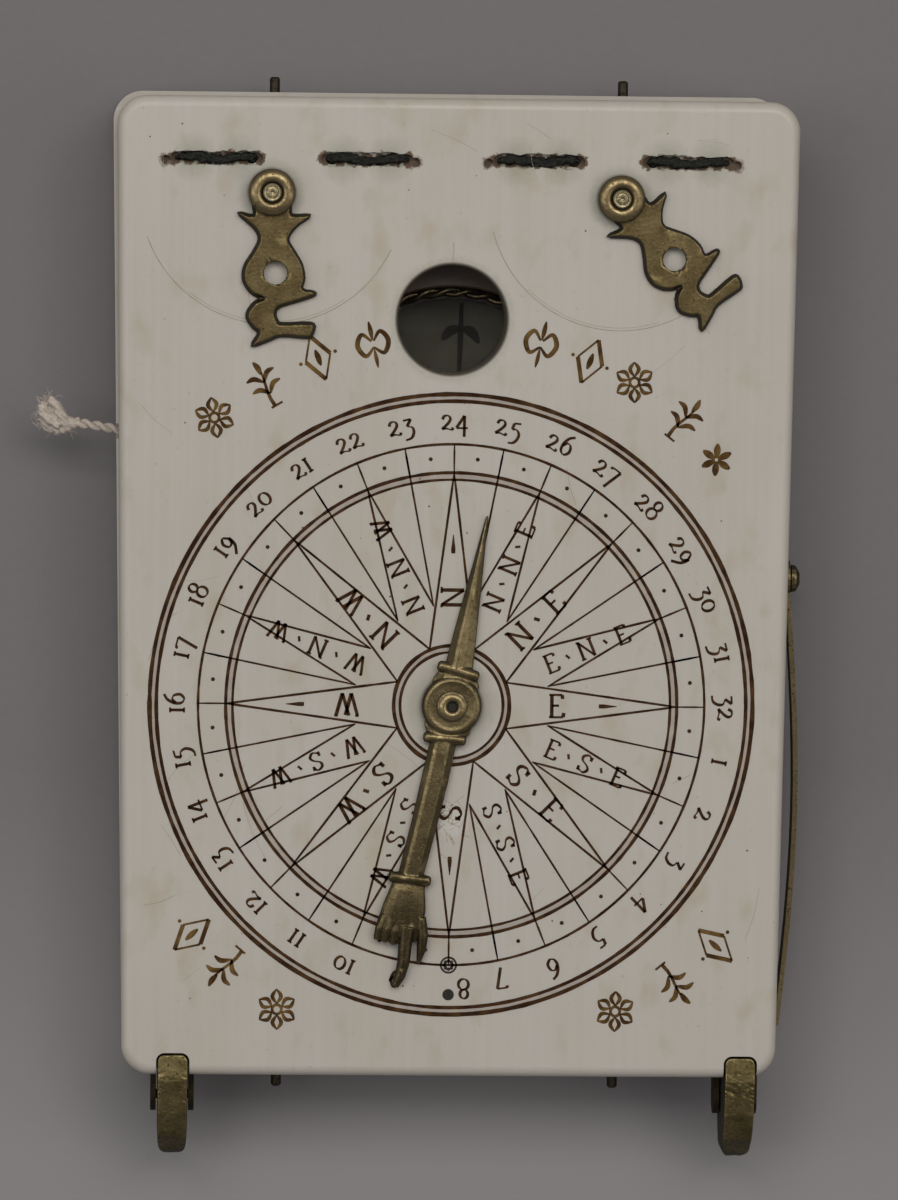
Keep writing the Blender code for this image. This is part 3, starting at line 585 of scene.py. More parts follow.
class Marks:
    """Strips and discs on one level face, gathered into one mesh. hand is -1 on a face seen from below."""

    def __init__(self, level, hand=1):
        self.top = level + hand * MARK_RISE
        self.low = level - hand * MARK_SUNK
        self.hand = hand
        self.bm = bmesh.new()

    def solid(self, outline):
        rings = [placed(outline, self.low, "Z"), placed(outline, self.top, "Z")]
        loft_into(self.bm, rings)

    def strip(self, points, widths, closed=False):
        """A strip along points, with one width or a width at each point."""
        points = [Vector(p[:2]) for p in points]
        count = len(points)
        if not hasattr(widths, "__len__"):
            widths = [widths] * count
        sections = []
        for i, p in enumerate(points):
            before = points[i - 1] if closed or i else p
            after = points[(i + 1) % count] if closed or i < count - 1 else p
            along = (after - before).normalized()
            side = Vector((-along.y, along.x)) * max(widths[i], 0.02) / 2
            sections.append([self.bm.verts.new((q.x * MM, q.y * MM, h * MM))
                            for h in (self.low, self.top) for q in (p + side, p - side)])
        pairs = list(zip(sections, sections[1:]))
        if closed:
            pairs.append((sections[-1], sections[0]))
        for a, b in pairs:
            for i, j in ((0, 1), (1, 3), (3, 2), (2, 0)):
                self.bm.faces.new((a[i], a[j], b[j], b[i]))
        if not closed:
            for a in (sections[0], sections[-1]):
                self.bm.faces.new((a[0], a[1], a[3], a[2]))

    def ring(self, centre, radius, width, squeeze=1.0, count=180, start=0.0, end=2 * math.pi):
        """A ring, or an arc, whose width wavers as a graver's does."""
        line = circle(0, 0, radius, count, start, end)
        line = [(centre[0] + u * squeeze, centre[1] + v) for u, v in line]
        widths = [width * (1 + 0.3 * noise.noise(Vector((p[0] * 0.7, p[1] * 0.7, radius)))) for p in line]
        self.strip(line, widths, closed=end - start > 2 * math.pi - 1e-6)

    def line(self, start, end, width):
        """A straight cut that thins a little to its ends and wavers in width."""
        start, end = Vector(start), Vector(end)
        count = max(3, int((end - start).length / 1.2))
        points = [start.lerp(end, i / count) for i in range(count + 1)]
        widths = [width * (1 + 0.25 * noise.noise(Vector((p.x, p.y, 3.1)))) for p in points]
        widths[0] *= 0.7
        widths[-1] *= 0.6
        self.strip(points, widths)

    def dot(self, centre, radius, count=12):
        self.solid(circle(centre[0], centre[1], radius, count))

    def letter(self, glyph, origin, along, size, weight=0.11):
        """Draws a glyph's strokes with a broad pen: upright strokes are thick, level ones thin."""
        up = Vector((-along.y, along.x)) * self.hand
        for stroke in GLYPHS[glyph]:
            points = smooth(stroke, 4) if len(stroke) > 2 else [Vector(p) for p in stroke]
            placed_points, widths = [], []
            for i, p in enumerate(points):
                way = way_along(points, i).normalized()
                pen = 0.55 + 0.75 * abs(way.y * 0.94 + way.x * 0.34)
                widths.append(weight * size * pen)
                placed_points.append(origin + along * p.x * size + up * p.y * size)
            self.strip(placed_points, widths)

    def word(self, text, centre, along, size, gap=0.22, weight=0.11):
        """A word whose middle is at centre, reading along a direction."""
        along = Vector(along).normalized()
        up = Vector((-along.y, along.x)) * self.hand
        width = sum(WIDTHS.get(c, 0.6) for c in text) + gap * (len(text) - 1)
        at = Vector(centre) - along * width * size / 2 - up * 0.5 * size
        for c in text:
            self.letter(c, at, along, size, weight)
            at = at + along * (WIDTHS.get(c, 0.6) + gap) * size

    def leaf(self, line, width):
        """A leaf-shaped mark along a curve."""
        points = smooth(line, 4)
        shares = [0.06 + 0.88 * i / (len(points) - 1) for i in range(len(points))]
        self.strip(points, [width * math.sin(math.pi * share) ** 0.8 for share in shares])

    def made(self, name, body, mat):
        return piece(made_from(name, self.bm, 30), body, mat)


def bowl(u, v, ru, rv, start=0, end=360, count=13):
    turns = [math.radians(start + (end - start) * i / (count - 1)) for i in range(count)]
    return [(u + ru * math.cos(t), v + rv * math.sin(t)) for t in turns]


# Old-style figures, on an x-height of 1, and capitals, on a height of 1
GLYPHS = {
    "0": [bowl(0.42, 0.5, 0.36, 0.46, 90, 450)],
    "1": [[(0.2, 0.0), (0.2, 1.0)], [(0.02, 0.0), (0.38, 0.0)], [(0.02, 1.0), (0.38, 1.0)]],
    "2": [[(0.06, 0.72), (0.2, 0.97), (0.5, 0.98), (0.62, 0.72), (0.4, 0.38), (0.04, 0.03)],
          [(0.04, 0.03), (0.35, 0.08), (0.72, 0.0), (0.82, 0.16)]],
    "3": [[(0.08, 0.95), (0.64, 0.98)], [(0.64, 0.98), (0.3, 0.5)],
          [(0.3, 0.5), (0.66, 0.36), (0.7, 0.0), (0.48, -0.36), (0.05, -0.46)]],
    "4": [[(0.62, 1.0), (0.04, 0.14)], [(0.04, 0.12), (0.86, 0.12)], [(0.62, 1.0), (0.6, -0.5)]],
    "5": [[(0.72, 1.0), (0.24, 0.96)], [(0.24, 0.96), (0.16, 0.52)],
          [(0.16, 0.52), (0.5, 0.52), (0.7, 0.2), (0.6, -0.2), (0.36, -0.44), (0.04, -0.48)]],
    "6": [[(0.74, 1.44), (0.36, 1.2), (0.1, 0.7), (0.12, 0.2), (0.42, 0.0), (0.72, 0.3), (0.64, 0.74),
           (0.36, 0.84), (0.12, 0.6)]],
    "7": [[(0.06, 0.86), (0.14, 1.0), (0.8, 0.98)], [(0.8, 0.98), (0.3, -0.5)]],
    "8": [bowl(0.42, 1.08, 0.28, 0.32, -90, 270), bowl(0.42, 0.38, 0.36, 0.38, 90, 450)],
    "9": [[(0.72, 0.56), (0.44, 0.96), (0.12, 0.66), (0.24, 0.22), (0.58, 0.26), (0.74, 0.6), (0.62, 0.0),
           (0.1, -0.5)]],
    "N": [[(0.12, 0.0), (0.12, 1.0)], [(0.12, 1.0), (0.78, 0.0)], [(0.78, 0.0), (0.78, 1.0)],
          [(0.0, 0.0), (0.26, 0.0)], [(0.0, 1.0), (0.14, 1.0)], [(0.64, 1.0), (0.92, 1.0)]],
    "S": [[(0.58, 0.82), (0.4, 0.99), (0.12, 0.86), (0.14, 0.62), (0.46, 0.42), (0.58, 0.2), (0.36, 0.0),
           (0.06, 0.14)], [(0.59, 0.96), (0.57, 0.72)], [(0.05, 0.28), (0.06, 0.02)]],
    "E": [[(0.14, 0.0), (0.14, 1.0)], [(0.02, 1.0), (0.6, 1.0)], [(0.02, 0.0), (0.64, 0.0)],
          [(0.14, 0.52), (0.46, 0.52)], [(0.6, 1.0), (0.62, 0.82)], [(0.64, 0.0), (0.68, 0.2)]],
    "W": [[(0.06, 1.0), (0.34, 0.0)], [(0.34, 0.0), (0.6, 0.98)], [(0.44, 1.0), (0.74, 0.0)],
          [(0.74, 0.0), (1.02, 1.0)], [(0.0, 1.0), (0.16, 1.0)], [(0.94, 1.0), (1.1, 1.0)]],
    "'": [[(0.02, 0.62), (0.16, 0.36)]],
}
WIDTHS = {"0": 0.84, "1": 0.4, "2": 0.82, "3": 0.76, "4": 0.86, "5": 0.76, "6": 0.8, "7": 0.82, "8": 0.84,
          "9": 0.8, "N": 0.92, "S": 0.66, "E": 0.68, "W": 1.1, "'": 0.2}
FIGURE_SIZE = 1.5
FIGURES_AT = 30.3
ROSE_RINGS = ((33.35, 0.46), (32.6, 0.38), (28.0, 0.28), (24.95, 0.36), (24.2, 0.3), (6.4, 0.4), (5.7, 0.32))
TINTED_RINGS = ((33.0, 0.62, 220), (24.6, 0.5, 200), (6.1, 0.5, 96))
RAY_TIP = 24.9
BAND_EDGE = 28.0
HOLE_AT = 31.2
OLD_PLUG_AT = 12.4
POINT_NAMES = ("N", "N'N'E", "N'E", "E'N'E", "E", "E'S'E", "S'E", "S'S'E",
               "S", "S'S'W", "S'W", "W'S'W", "W", "W'N'W", "N'W", "N'N'W")


def on_rose(degrees, radius):
    """A point at a clockwise angle from the hinge side, at a radius in mm."""
    t = math.radians(degrees)
    return Vector((ROSE.x + ROSE_SQUEEZE * radius * math.sin(t), ROSE.y + radius * math.cos(t)))


def outward(degrees):
    t = math.radians(degrees)
    return Vector((math.sin(t), math.cos(t)))


def rose_lines(dark):
    """The wind rose: double rings, 16 long rays, quarter winds and the divided band."""
    marks = Marks(TOP)
    for radius, width in ROSE_RINGS:
        marks.ring(ROSE, radius, width, ROSE_SQUEEZE, 220 if radius > 10 else 96)
    for i in range(8):
        turn = 45.0 * i
        for out in (-1, 1):
            marks.line(on_rose(turn + out * 22.5, 6.5), on_rose(turn, RAY_TIP), 0.25)
            side = turn + 22.5
            marks.line(on_rose(side + out * 11.25, 10.9), on_rose(side, RAY_TIP), 0.24)
    for i in range(16):
        turn = 11.25 + 22.5 * i
        marks.line(on_rose(turn, 10.8), on_rose(turn, BAND_EDGE), 0.21)
    for i in range(32):
        turn = 11.25 * i
        marks.line(on_rose(turn, RAY_TIP), on_rose(turn, BAND_EDGE), 0.21)
        marks.dot(on_rose(turn + 5.6, 26.5), 0.22)
    for turn in (0, 90, 270, 180):
        tip, root = on_rose(turn, 18.3), on_rose(turn, 16.3)
        marks.strip([root.lerp(tip, t / 5) for t in range(6)], [0.42, 0.46, 0.4, 0.28, 0.18, 0.08])
    marks.made("rose_lines", "lid", dark)


def rose_lettering(dark):
    """The figures 1 to 32 in the outer band and the compass initials along the rays."""
    marks = Marks(TOP)
    for number in range(1, 33):
        turn = (number - 24) * 11.25 + (-3.2 if number == 8 else 0.0)
        way = outward(turn)
        across = Vector((way.y, -way.x))
        marks.word(str(number), on_rose(turn, FIGURES_AT), across, FIGURE_SIZE, 0.2, 0.17)
    marks.made("rose_figures", "lid", dark)
    marks = Marks(TOP)
    for i, name in enumerate(POINT_NAMES):
        turn = 22.5 * i
        way = outward(turn)
        if i % 4 == 0:
            marks.word(name, on_rose(turn, 11.6), way, 2.4, 0.3, 0.13)
        elif i % 2 == 0:
            first, last = name.split("'")
            marks.word(first, on_rose(turn, 10.6), way, 2.4, 0.3, 0.13)
            marks.word("'", on_rose(turn, 13.2), way, 2.2, 0.3, 0.16)
            marks.word(last, on_rose(turn, 15.8), way, 2.3, 0.3, 0.13)
        else:
            marks.word(name, on_rose(turn, 16.1), way, 1.95, 0.55, 0.13)
    marks.made("rose_initials", "lid", dark)


def rose_tint(tint, hole):
    """The stained bands between the double rings, the small flower at the rose's foot, and a hole there
    painted as a dark disc of shade.
    """
    marks = Marks(TOP - 0.006)
    for radius, width, count in TINTED_RINGS:
        marks.ring(ROSE, radius, width, ROSE_SQUEEZE, count)
    marks.made("rose_tint", "lid", tint)
    marks = Marks(TOP)
    # Painted shade: the hole is a dark disc on the face, standing for the shade in a hole that is not cut.
    marks.dot(on_rose(180, HOLE_AT), 0.62, 24)
    flower = on_rose(180, BAND_EDGE)
    for p in circle(*flower, 0.45, 8):
        marks.dot(p, 0.2)
    marks.ring(flower, 0.82, 0.22, 1.0, 32)
    marks.made("rose_plug", "lid", hole)


# Ornaments round the rose

ORNAMENT_SCALE = 1.12


class Stamp:
    """Draws an ornament at a place on the lid, upright when seen with the rose's centre below it."""

    def __init__(self, marks, x, y):
        self.marks = marks
        self.at = Vector((x, y))
        up = (self.at - ROSE.xy).normalized()
        self.up = up * ORNAMENT_SCALE
        self.right = Vector((up.y, -up.x)) * ORNAMENT_SCALE

    def put(self, points):
        return [self.at + self.right * p[0] + self.up * p[1] for p in points]

    def leaf(self, points, width):
        self.marks.leaf(self.put(points), width)

    def strip(self, points, widths, closed=False):
        self.marks.strip(self.put(points), widths, closed)

    def dot(self, point, radius):
        self.marks.dot(self.put([point])[0], radius)


def star(stamp):
    for i in range(6):
        way = heading(math.radians(60 * i + 12))
        stamp.leaf([way * 0.15, way * 0.9, way * 1.55], 0.75)


def rosette(stamp):
    for i in range(6):
        way = heading(math.radians(60 * i))
        side = Vector((-way.y, way.x))
        for out in (-0.42, 0.42):
            stamp.leaf([way * 0.55, way * 1.25 + side * out, way * 1.95], 0.44)
    stamp.strip(circle(0, 0, 0.45, 20), 0.32, closed=True)


def sprig(stamp):
    stem = [(0.25 * math.sin(v), v) for v in (-2.2, -1.4, -0.6, 0.3, 1.2)]
    stamp.strip(stem, [0.42, 0.38, 0.34, 0.3, 0.2])
    stamp.leaf([(0.1, 1.0), (0.15, 1.7), (0.0, 2.4)], 0.62)
    for level in (-1.0, 0.2):
        for out in (-1, 1):
            stamp.leaf([(0.0, level), (0.7 * out, level + 0.75), (1.5 * out, level + 0.8)], 0.55)
    stamp.strip([(-0.6, -2.25), (0.0, -2.25), (0.6, -2.25)], 0.24)


def lozenge(stamp):
    points = [Vector(p) for p in ((0, 2.2), (1.25, 0), (0, -2.2), (-1.25, 0))]
    for a, b, width in zip(points, points[1:] + points[:1], (0.46, 0.22, 0.46, 0.22)):
        stamp.strip([a.lerp(b, t / 4) for t in range(5)], width)
    stamp.leaf([(0, -0.8), (0.02, 0), (0, 0.8)], 0.62)
    for out in (-1, 1):
        stamp.dot((1.75 * out, 0), 0.2)


def linked_loops(stamp):
    """Two linked loops on a short stem."""
    for out in (-1, 1):
        loop = smooth([(0, -0.2), (0.9 * out, -0.9), (1.5 * out, 0.2), (0.9 * out, 1.2), (0.1 * out, 0.4)], 5)
        last = len(loop) - 1
        stamp.strip(loop, [0.22 + 0.32 * math.sin(math.pi * i / last) for i in range(last + 1)])
    stamp.leaf([(0, 0.5), (0.02, 1.4), (0, 2.3)], 0.5)
    stamp.leaf([(0, -0.4), (0.02, -1.3), (0, -2.2)], 0.42)


# (x, y, drawing): the top arc from left to right, then the two lower corners
ORNAMENTS = (
    (-25.9, 18.2, rosette), (-20.5, 21.8, sprig), (-14.9, 24.7, lozenge),
    (-9.0, 26.1, linked_loops), (8.9, 26.3, linked_loops), (14.2, 24.6, lozenge),
    (19.0, 22.4, rosette), (24.4, 18.5, sprig), (27.9, 14.2, star),
    (-27.8, -37.3, lozenge), (-24.2, -40.8, sprig), (-18.6, -45.3, rosette),
    (28.5, -38.1, lozenge), (24.2, -42.3, sprig), (17.8, -45.3, rosette),
)


def ornaments(ochre):
    """Flowers and knots set round the rose, their heads outward."""
    marks = Marks(TOP)
    for x, y, draw in ORNAMENTS:
        draw(Stamp(marks, x, y))
    marks.made("ornaments", "lid", ochre)


SCRATCHES = 38
SCUFFS = 34
PITS = 46


def wear_marks(faint, dark):
    """Arcs scratched by the swinging levers, stray scratches and small dark pits."""
    marks = Marks(TOP - 0.004)
    for side, start, end in (("left", 200, 335), ("right", 195, 318)):
        at = LEVER_PIVOTS[side]
        for radius, width, trim in ((14.1, 0.09, 0), (13.8, 0.05, 30)):
            marks.ring(at, radius, width, 1.0, 60, math.radians(start + trim), math.radians(end - trim))
    rng = random.Random(7)
    for _ in range(SCRATCHES):
        x, y = rng.uniform(-33, 33), rng.uniform(-49, 49)
        turn = rng.uniform(0, math.pi)
        long = rng.uniform(1.5, 7)
        way = heading(turn) * long
        if abs(x + way.x) < 34 and abs(y + way.y) < 50 and (Vector((x, y)) - Vector(WINDOW)).length > 14:
            bend = Vector((x, y)) + way * 0.5 + Vector((-way.y, way.x)) * rng.uniform(-0.06, 0.06)
            marks.strip(smooth([(x, y), tuple(bend), (x + way.x, y + way.y)], 4), rng.uniform(0.03, 0.06))
    marks.strip([(-0.6, 35.2), (-0.5, 36.2), (-0.55, 37.2)], 0.08)
    scuffs = random.Random(23)
    for _ in range(SCUFFS):
        at = on_rose(180, OLD_PLUG_AT) + Vector((scuffs.gauss(0, 0.8), scuffs.gauss(0, 1.5)))
        way = heading(scuffs.uniform(0, math.pi)) * scuffs.uniform(0.3, 0.9)
        marks.strip([at - way, at, at + way * 0.8], scuffs.uniform(0.04, 0.09))
    marks.made("scratches", "lid", faint)
    marks = Marks(TOP)
    for _ in range(PITS):
        marks.dot((rng.uniform(-34, 34), rng.uniform(-50, 51)), rng.uniform(0.04, 0.1), 7)
    marks.made("pits", "lid", dark)


# Hour lines on the two inner faces, seen when the dial is open

HOURS = ("6", "7", "8", "9", "10", "11", "12", "1", "2", "3", "4", "5", "6")
LID_FOOT = (-0.7, -38.0)


def is_clear(p, clear, margin=0.0):
    return all((p - Vector(c[:2])).length > c[2] + margin for c in clear)


def clear_runs(points, clear):
    """The stretches of a line that lie outside the clear circles, each (x, y, radius)."""
    run = []
    for p in points:
        if is_clear(p, clear):
            run.append(p)
            continue
        if len(run) > 2:
            yield run
        run = []
    if len(run) > 2:
        yield run


def hour_face(name, body, level, hand, foot, band, hours, spread, mat, clear):
    """Hour lines fanning from the string's foot to a double ring with the hours beyond it."""
    marks = Marks(level, hand)
    start, end = (math.radians(90 - spread - 5), math.radians(90 + spread + 5))
    for radius, width in ((band, 0.2), (band + 0.7, 0.14), (band + 5.4, 0.14), (band + 6.1, 0.22)):
        arc = [Vector(p) for p in circle(*foot, radius, 120, start, end)]
        for run in clear_runs(arc, clear):
            marks.strip(run, width)
    marks.ring(foot, 3.4, 0.2, 1.0, 48)
    steps = len(hours) - 1
    for i in range(2 * steps + 1):
        share = i / (2 * steps) * 2 - 1
        bent = math.copysign(abs(share) ** 1.25, share) * spread
        way = heading(math.radians(90 - bent))
        inner = 3.6 if i % 2 == 0 else band - 5
        ray = [Vector(foot) + way * (inner + (band - inner) * k / 40) for k in range(41)]
        for run in clear_runs(ray, clear):
            marks.strip(run, 0.16)
        centre = Vector(foot) + way * (band + 3.0)
        if not is_clear(centre, clear, 1.6):
            continue
        if i % 2 == 0:
            marks.word(hours[i // 2], centre, Vector((way.y, -way.x)), 2.0, 0.2, 0.13)
        else:
            marks.dot(centre, 0.2)
    marks.made(name, body, mat)


def border_lines(marks, border):
    for a, b in zip(border, border[1:] + border[:1]):
        marks.line(a, b, 0.2)


def inner_faces(dark):
    """The hour lines, the borders, and the rings round the compass and the window."""
    compass_clear = (*COMPASS.xy, 20.6)
    window_clear = (*WINDOW, 7.5)
    hour_face("base_hour_lines", "base", BASE_TOP, 1, STRING_HOLE, 21.0, HOURS, 82, dark, [compass_clear])
    hour_face("lid_hour_lines", "lid", LID_FLOOR, -1, LID_FOOT, 46.0, HOURS[2:-2], 33, dark, [window_clear])
    marks = Marks(BASE_TOP)
    for radius, width in ((19.9, 0.22), (19.4, 0.14)):
        marks.ring(COMPASS, radius, width, 1.0, 120)
    border_lines(marks, [(-33.4, -50), (33.4, -50), (33.8, 40.5), (-33.8, 40.5)])
    marks.made("base_border", "base", dark)
    marks = Marks(LID_FLOOR, -1)
    border_lines(marks, [(-32.4, -47), (32.4, -47), (33.4, 40.5), (-33.4, 40.5)])
    marks.ring(WINDOW, 6.9, 0.2, 1.0, 64)
    marks.made("lid_border", "lid", dark)


# Ivory leaves

def half_width(y):
    share = (y - FREE_Y) / LENGTH
    return (FREE_WIDTH + (HINGE_WIDTH - FREE_WIDTH) * share) / 2


def leaf_outline(inset, hinge_end):
    """One leaf's outline. hinge_end moves its left and right corners in x and its hinge edge in y."""
    left, right, out = hinge_end
    quarter = math.pi / 2
    points = []
    for i, (sx, sy, move) in enumerate(((1, 1, right), (-1, 1, left), (-1, -1, 0.0), (1, -1, 0.0))):
        y = sy * LENGTH / 2
        x = sx * half_width(y) + move
        y += max(0.0, sy * out)
        points += circle(x - sx * CORNER, y - sy * CORNER, CORNER - inset, 15, i * quarter, (i + 1) * quarter)
    points.append((half_width(STRAIGHT_TO) - inset, STRAIGHT_TO))
    return points


def leaf_blank(name, flat_z, round_z, hinge_end=(0.0, 0.0, 0.0)):
    """A leaf from its parting face, with a fine broken edge, to its outer face with a round rim."""
    sign = 1 if round_z > flat_z else -1
    rings = [placed(leaf_outline(inset, hinge_end), flat_z + sign * rise, "Z")
             for inset, rise in ((0.14, 0.0), (0.04, 0.05), (0, 0.16))]
    for step in range(11):
        angle = math.pi / 2 * step / 10
        inset = EDGE_ROUND * (1 - math.cos(angle))
        level = round_z - sign * EDGE_ROUND * (1 - math.sin(angle))
        rings.append(placed(leaf_outline(inset, hinge_end), level, "Z"))
    bm = bmesh.new()
    loft_into(bm, rings)
    return made_from(name, bm)


def back_bevel(parting_z, sign):
    wedge = [(HINGE_Y - BEVEL - 1, parting_z - sign), (HINGE_Y + 1, parting_z + sign * (BEVEL + 1)),
             (HINGE_Y + 1, parting_z - sign)]
    return prism("bevel_cutter", wedge, -40, 40, "X")


def ragged_slot(x0, x1, y, half, rng):
    """A worn slot's outline: round ends and uneven sides."""
    length = x1 - x0
    top = [(x0 + length * t / 14, y + half * (1 + rng.uniform(-0.22, 0.16))) for t in range(1, 14)]
    bottom = [(x1 - length * t / 14, y - half * (1 + rng.uniform(-0.22, 0.16))) for t in range(1, 14)]
    right = circle(x1 - half * 0.6, y, half * 0.8, 5, math.pi / 2.4, -math.pi / 2.4)
    left = circle(x0 + half * 0.6, y, half * 0.8, 5, 1.42 * math.pi, 0.58 * math.pi)
    return top + right + bottom + left


# For each leaf: its name, its inner and outer face, and the outer face's direction
HALVES = {"upper": ("upper", LID_FLOOR, TOP, 1), "lower": ("lower", BASE_TOP, 0.0, -1)}


def slot_boxes(word):
    """Each wire slot of the upper or lower leaf as (number, x0, x1, y), longer than its CAD staple."""
    for number in (1, 2, 3, 4):
        low, high = corners(f"{word}_staple_{number}")
        yield number, low.x - 0.3, high.x + 0.3, (low.y + high.y) / 2


def slot_ends(number, x0, x1):
    """The x of the leg's hole near a slot's inner end, and of the small pit past its outer end."""
    return (x1 - 1.05, x0 - 0.6) if number % 2 else (x0 + 1.05, x1 + 0.4)


def hinge_cutters(word, face, outer, sign):
    """The strap pockets, barrel grooves, leg holes and ragged wire slots of the upper or lower leaf."""
    for side in HINGES:
        low, high = corners(f"hinge_{word}_{side}")
        x0, x1 = low.x - 0.1, high.x + 0.1
        pocket = sorted((face + sign * 0.7, face - sign))
        yield prism("pocket_cutter", rectangle(x0, low.y - 0.1, x1, HINGE_Y + 1), *pocket)
        axis = HINGES[side]
        yield prism("barrel_cutter", circle(axis.y, axis.z, 1.1, 24), x0, x1, "X")
    rng = random.Random(3)
    for number, x0, x1, y in slot_boxes(word):
        slot = sorted((outer - sign * 0.72, outer + sign))
        yield prism("slot_cutter", ragged_slot(x0, x1, y, 0.74, rng), *slot)
        leg_x, pit_x = slot_ends(number, x0, x1)
        yield prism("leg_cutter", circle(leg_x, y, 0.6, 16), *sorted((face - sign, outer + sign)))
        yield prism("end_cutter", circle(pit_x, y - PIT_DROP, 0.5, 16), *slot)


def catch_plan(x, grow):
    """The catch's outline seen from above, round at its head, grown all round."""
    half = 1.6 + grow
    radius = 0.7 + grow
    head = FREE_Y + 2.2 + grow
    right = circle(x + half - radius, head - radius, radius, 9, 0, math.pi / 2)
    left = circle(x - half + radius, head - radius, radius, 9, math.pi / 2, math.pi)
    return [(x - half, FREE_Y - 12), (x + half, FREE_Y - 12), *right, *left]


def string_line(steps=3):
    """The string's centreline in metres."""
    base = BASE_TOP - CHANNEL_DEPTH + 0.1 + STRING_R
    points = [(x, y, base + drop) for (x, y), drop in zip(STRING_ROUTE, STRING_DROP)]
    return [p * MM for p in smooth(points, steps)]


def string_channel():
    """The cutter for the string's shallow channel, from its hole out through the left edge."""
    line = [p / MM for p in string_line() if p.x / MM > -35.0]
    line = [Vector((*STRING_HOLE, 0)), *line, Vector((-38.0, 17.0, 0))]
    left, right = [], []
    for i, p in enumerate(line):
        along = way_along(line, i)
        side = Vector((-along.y, along.x)).normalized() * 0.75
        left.append((p.x + side.x, p.y + side.y))
        right.append((p.x - side.x, p.y - side.y))
    return prism("channel_cutter", left + right[::-1], BASE_TOP - CHANNEL_DEPTH, BASE_TOP + 1)


def drill(point, radius, low, high, axis="Z"):
    return prism("drill_cutter", circle(point[0], point[1], radius, 20), low, high, axis)


def compass_well():
    """The cutter for the compass: a well for the card and, above it, a rebate for the glass."""
    card_low, card_high = corners("compass_card")
    glass_low, glass_high = corners("compass_glass")
    well_r = card_high.x - COMPASS.x + 0.2
    rebate_r = glass_high.x - COMPASS.x + 0.2
    floor = card_low.z - 0.1
    step = glass_low.z - 0.1
    top = BASE_TOP
    well = [(1e-3, floor), (well_r, floor), (well_r, step), (rebate_r, step), (rebate_r, top - 0.2),
            (rebate_r + 0.2, top + 0.01), (rebate_r + 1.2, top + 1), (1e-3, top + 1)]
    return turned("well_cutter", well, COMPASS, 72)


def edge_cutters():
    """The holes for the pins in both ends of the base, and the pockets for the catches' brackets."""
    for side in ("left", "right"):
        for name, ends in (("hinge_edge_pin", (HINGE_Y - 6, HINGE_Y + 1)),
                           ("free_edge_pin", (FREE_Y - 1, FREE_Y + 6))):
            pin = middle(f"{name}_{side}")
            yield drill((pin.x, pin.z), 0.62, *ends, "Y")
        low, high = corners(f"catch_bracket_{side}")
        pocket = rectangle(low.x - 0.1, low.z - 0.1, high.x + 0.1, high.z + 0.1)
        yield prism("bracket_cutter", pocket, FREE_Y - 1, FREE_Y + 1.4, "Y")


def base_leaf(mat):
    """The lower leaf with all its pockets, holes and channels."""
    leaf = leaf_blank("ivory_base", BASE_TOP, 0.0, BASE_HINGE_END)
    cutters = [back_bevel(BASE_TOP, -1), *hinge_cutters(*HALVES["lower"]), string_channel(), compass_well()]
    cutters.append(drill(STRING_HOLE, 1.0, 2.0, BASE_TOP + 1))
    cutters += edge_cutters()
    rivet = middle("side_arm_rivet")
    edge = half_width(rivet.y)
    cutters.append(drill((rivet.y, rivet.z), 0.8, edge - 5, edge + 1, "X"))
    cut(leaf, cutters)
    piece(shade_by_angle(leaf), "base", mat, ["lower_leaf"])


def lid_leaf(mat):
    """The upper leaf with its window, rivet holes, hinge pockets and catch notches."""
    leaf = leaf_blank("ivory_lid", LID_FLOOR, TOP)
    low, top = LID_FLOOR - 1, TOP
    cutters = [back_bevel(LID_FLOOR, 1), *hinge_cutters(*HALVES["upper"])]
    rim = ((0.12, low), (0.12, low + 0.98), (0, low + 1.12), (0, top - 0.45), (0.05, top - 0.25),
           (0.16, top - 0.1), (0.34, top - 0.02), (0.46, top + 0.003), (0.46, top + 1))
    profile = [(1e-3, low), *((WINDOW_R + out, z) for out, z in rim), (1e-3, top + 1)]
    cutters.append(turned("window_cutter", profile, WINDOW, 96))
    for at in LEVER_PIVOTS.values():
        cutters.append(drill(at, 0.8, low, top + 1))
    cutters.append(drill(ROSE, 1.0, low, top + 1))
    for at in CATCHES.values():
        cutters.append(prism("notch_cutter", catch_plan(at.x, 0.2), low, top + 1))
    cut(leaf, cutters)
    piece(shade_by_angle(leaf), "lid", mat, ["upper_leaf"])


# Tarnished wires bent flat in their slots

def slot_wire(name, x0, x1, y, level, sign, rng):
    """A lumpy, corroded wire lying in its slot."""
    bm = bmesh.new()
    steps = 44
    line, radii = [], []
    for i in range(steps + 1):
        t = i / steps
        sway = 0.16 * math.sin(t * 9 + rng.uniform(-0.2, 0.2))
        line.append(Vector((x0 + (x1 - x0) * t, y + sway, level - sign * 0.36)) * MM)
        ends = min(1.0, 6 * t + 0.35, 6 * (1 - t) + 0.35)
        radii.append(0.5 * MM * ends * (1 + rng.uniform(-0.16, 0.16)))
    tube_into(bm, line, radii, 12)
    made = made_from(name, bm, None)
    modifier = made.modifiers.new("subdivide", "SUBSURF")
    modifier.levels = modifier.render_levels = 1
    apply_all(made)
    top = level - sign * 0.04
    for vertex in made.data.vertices:
        push = noise.fractal(vertex.co * 1700, 1.0, 2.0, 4) * 0.2 * MM
        vertex.co += vertex.normal * push
        if sign * (vertex.co.z / MM - top) > 0:
            vertex.co.z = top * MM
    return made


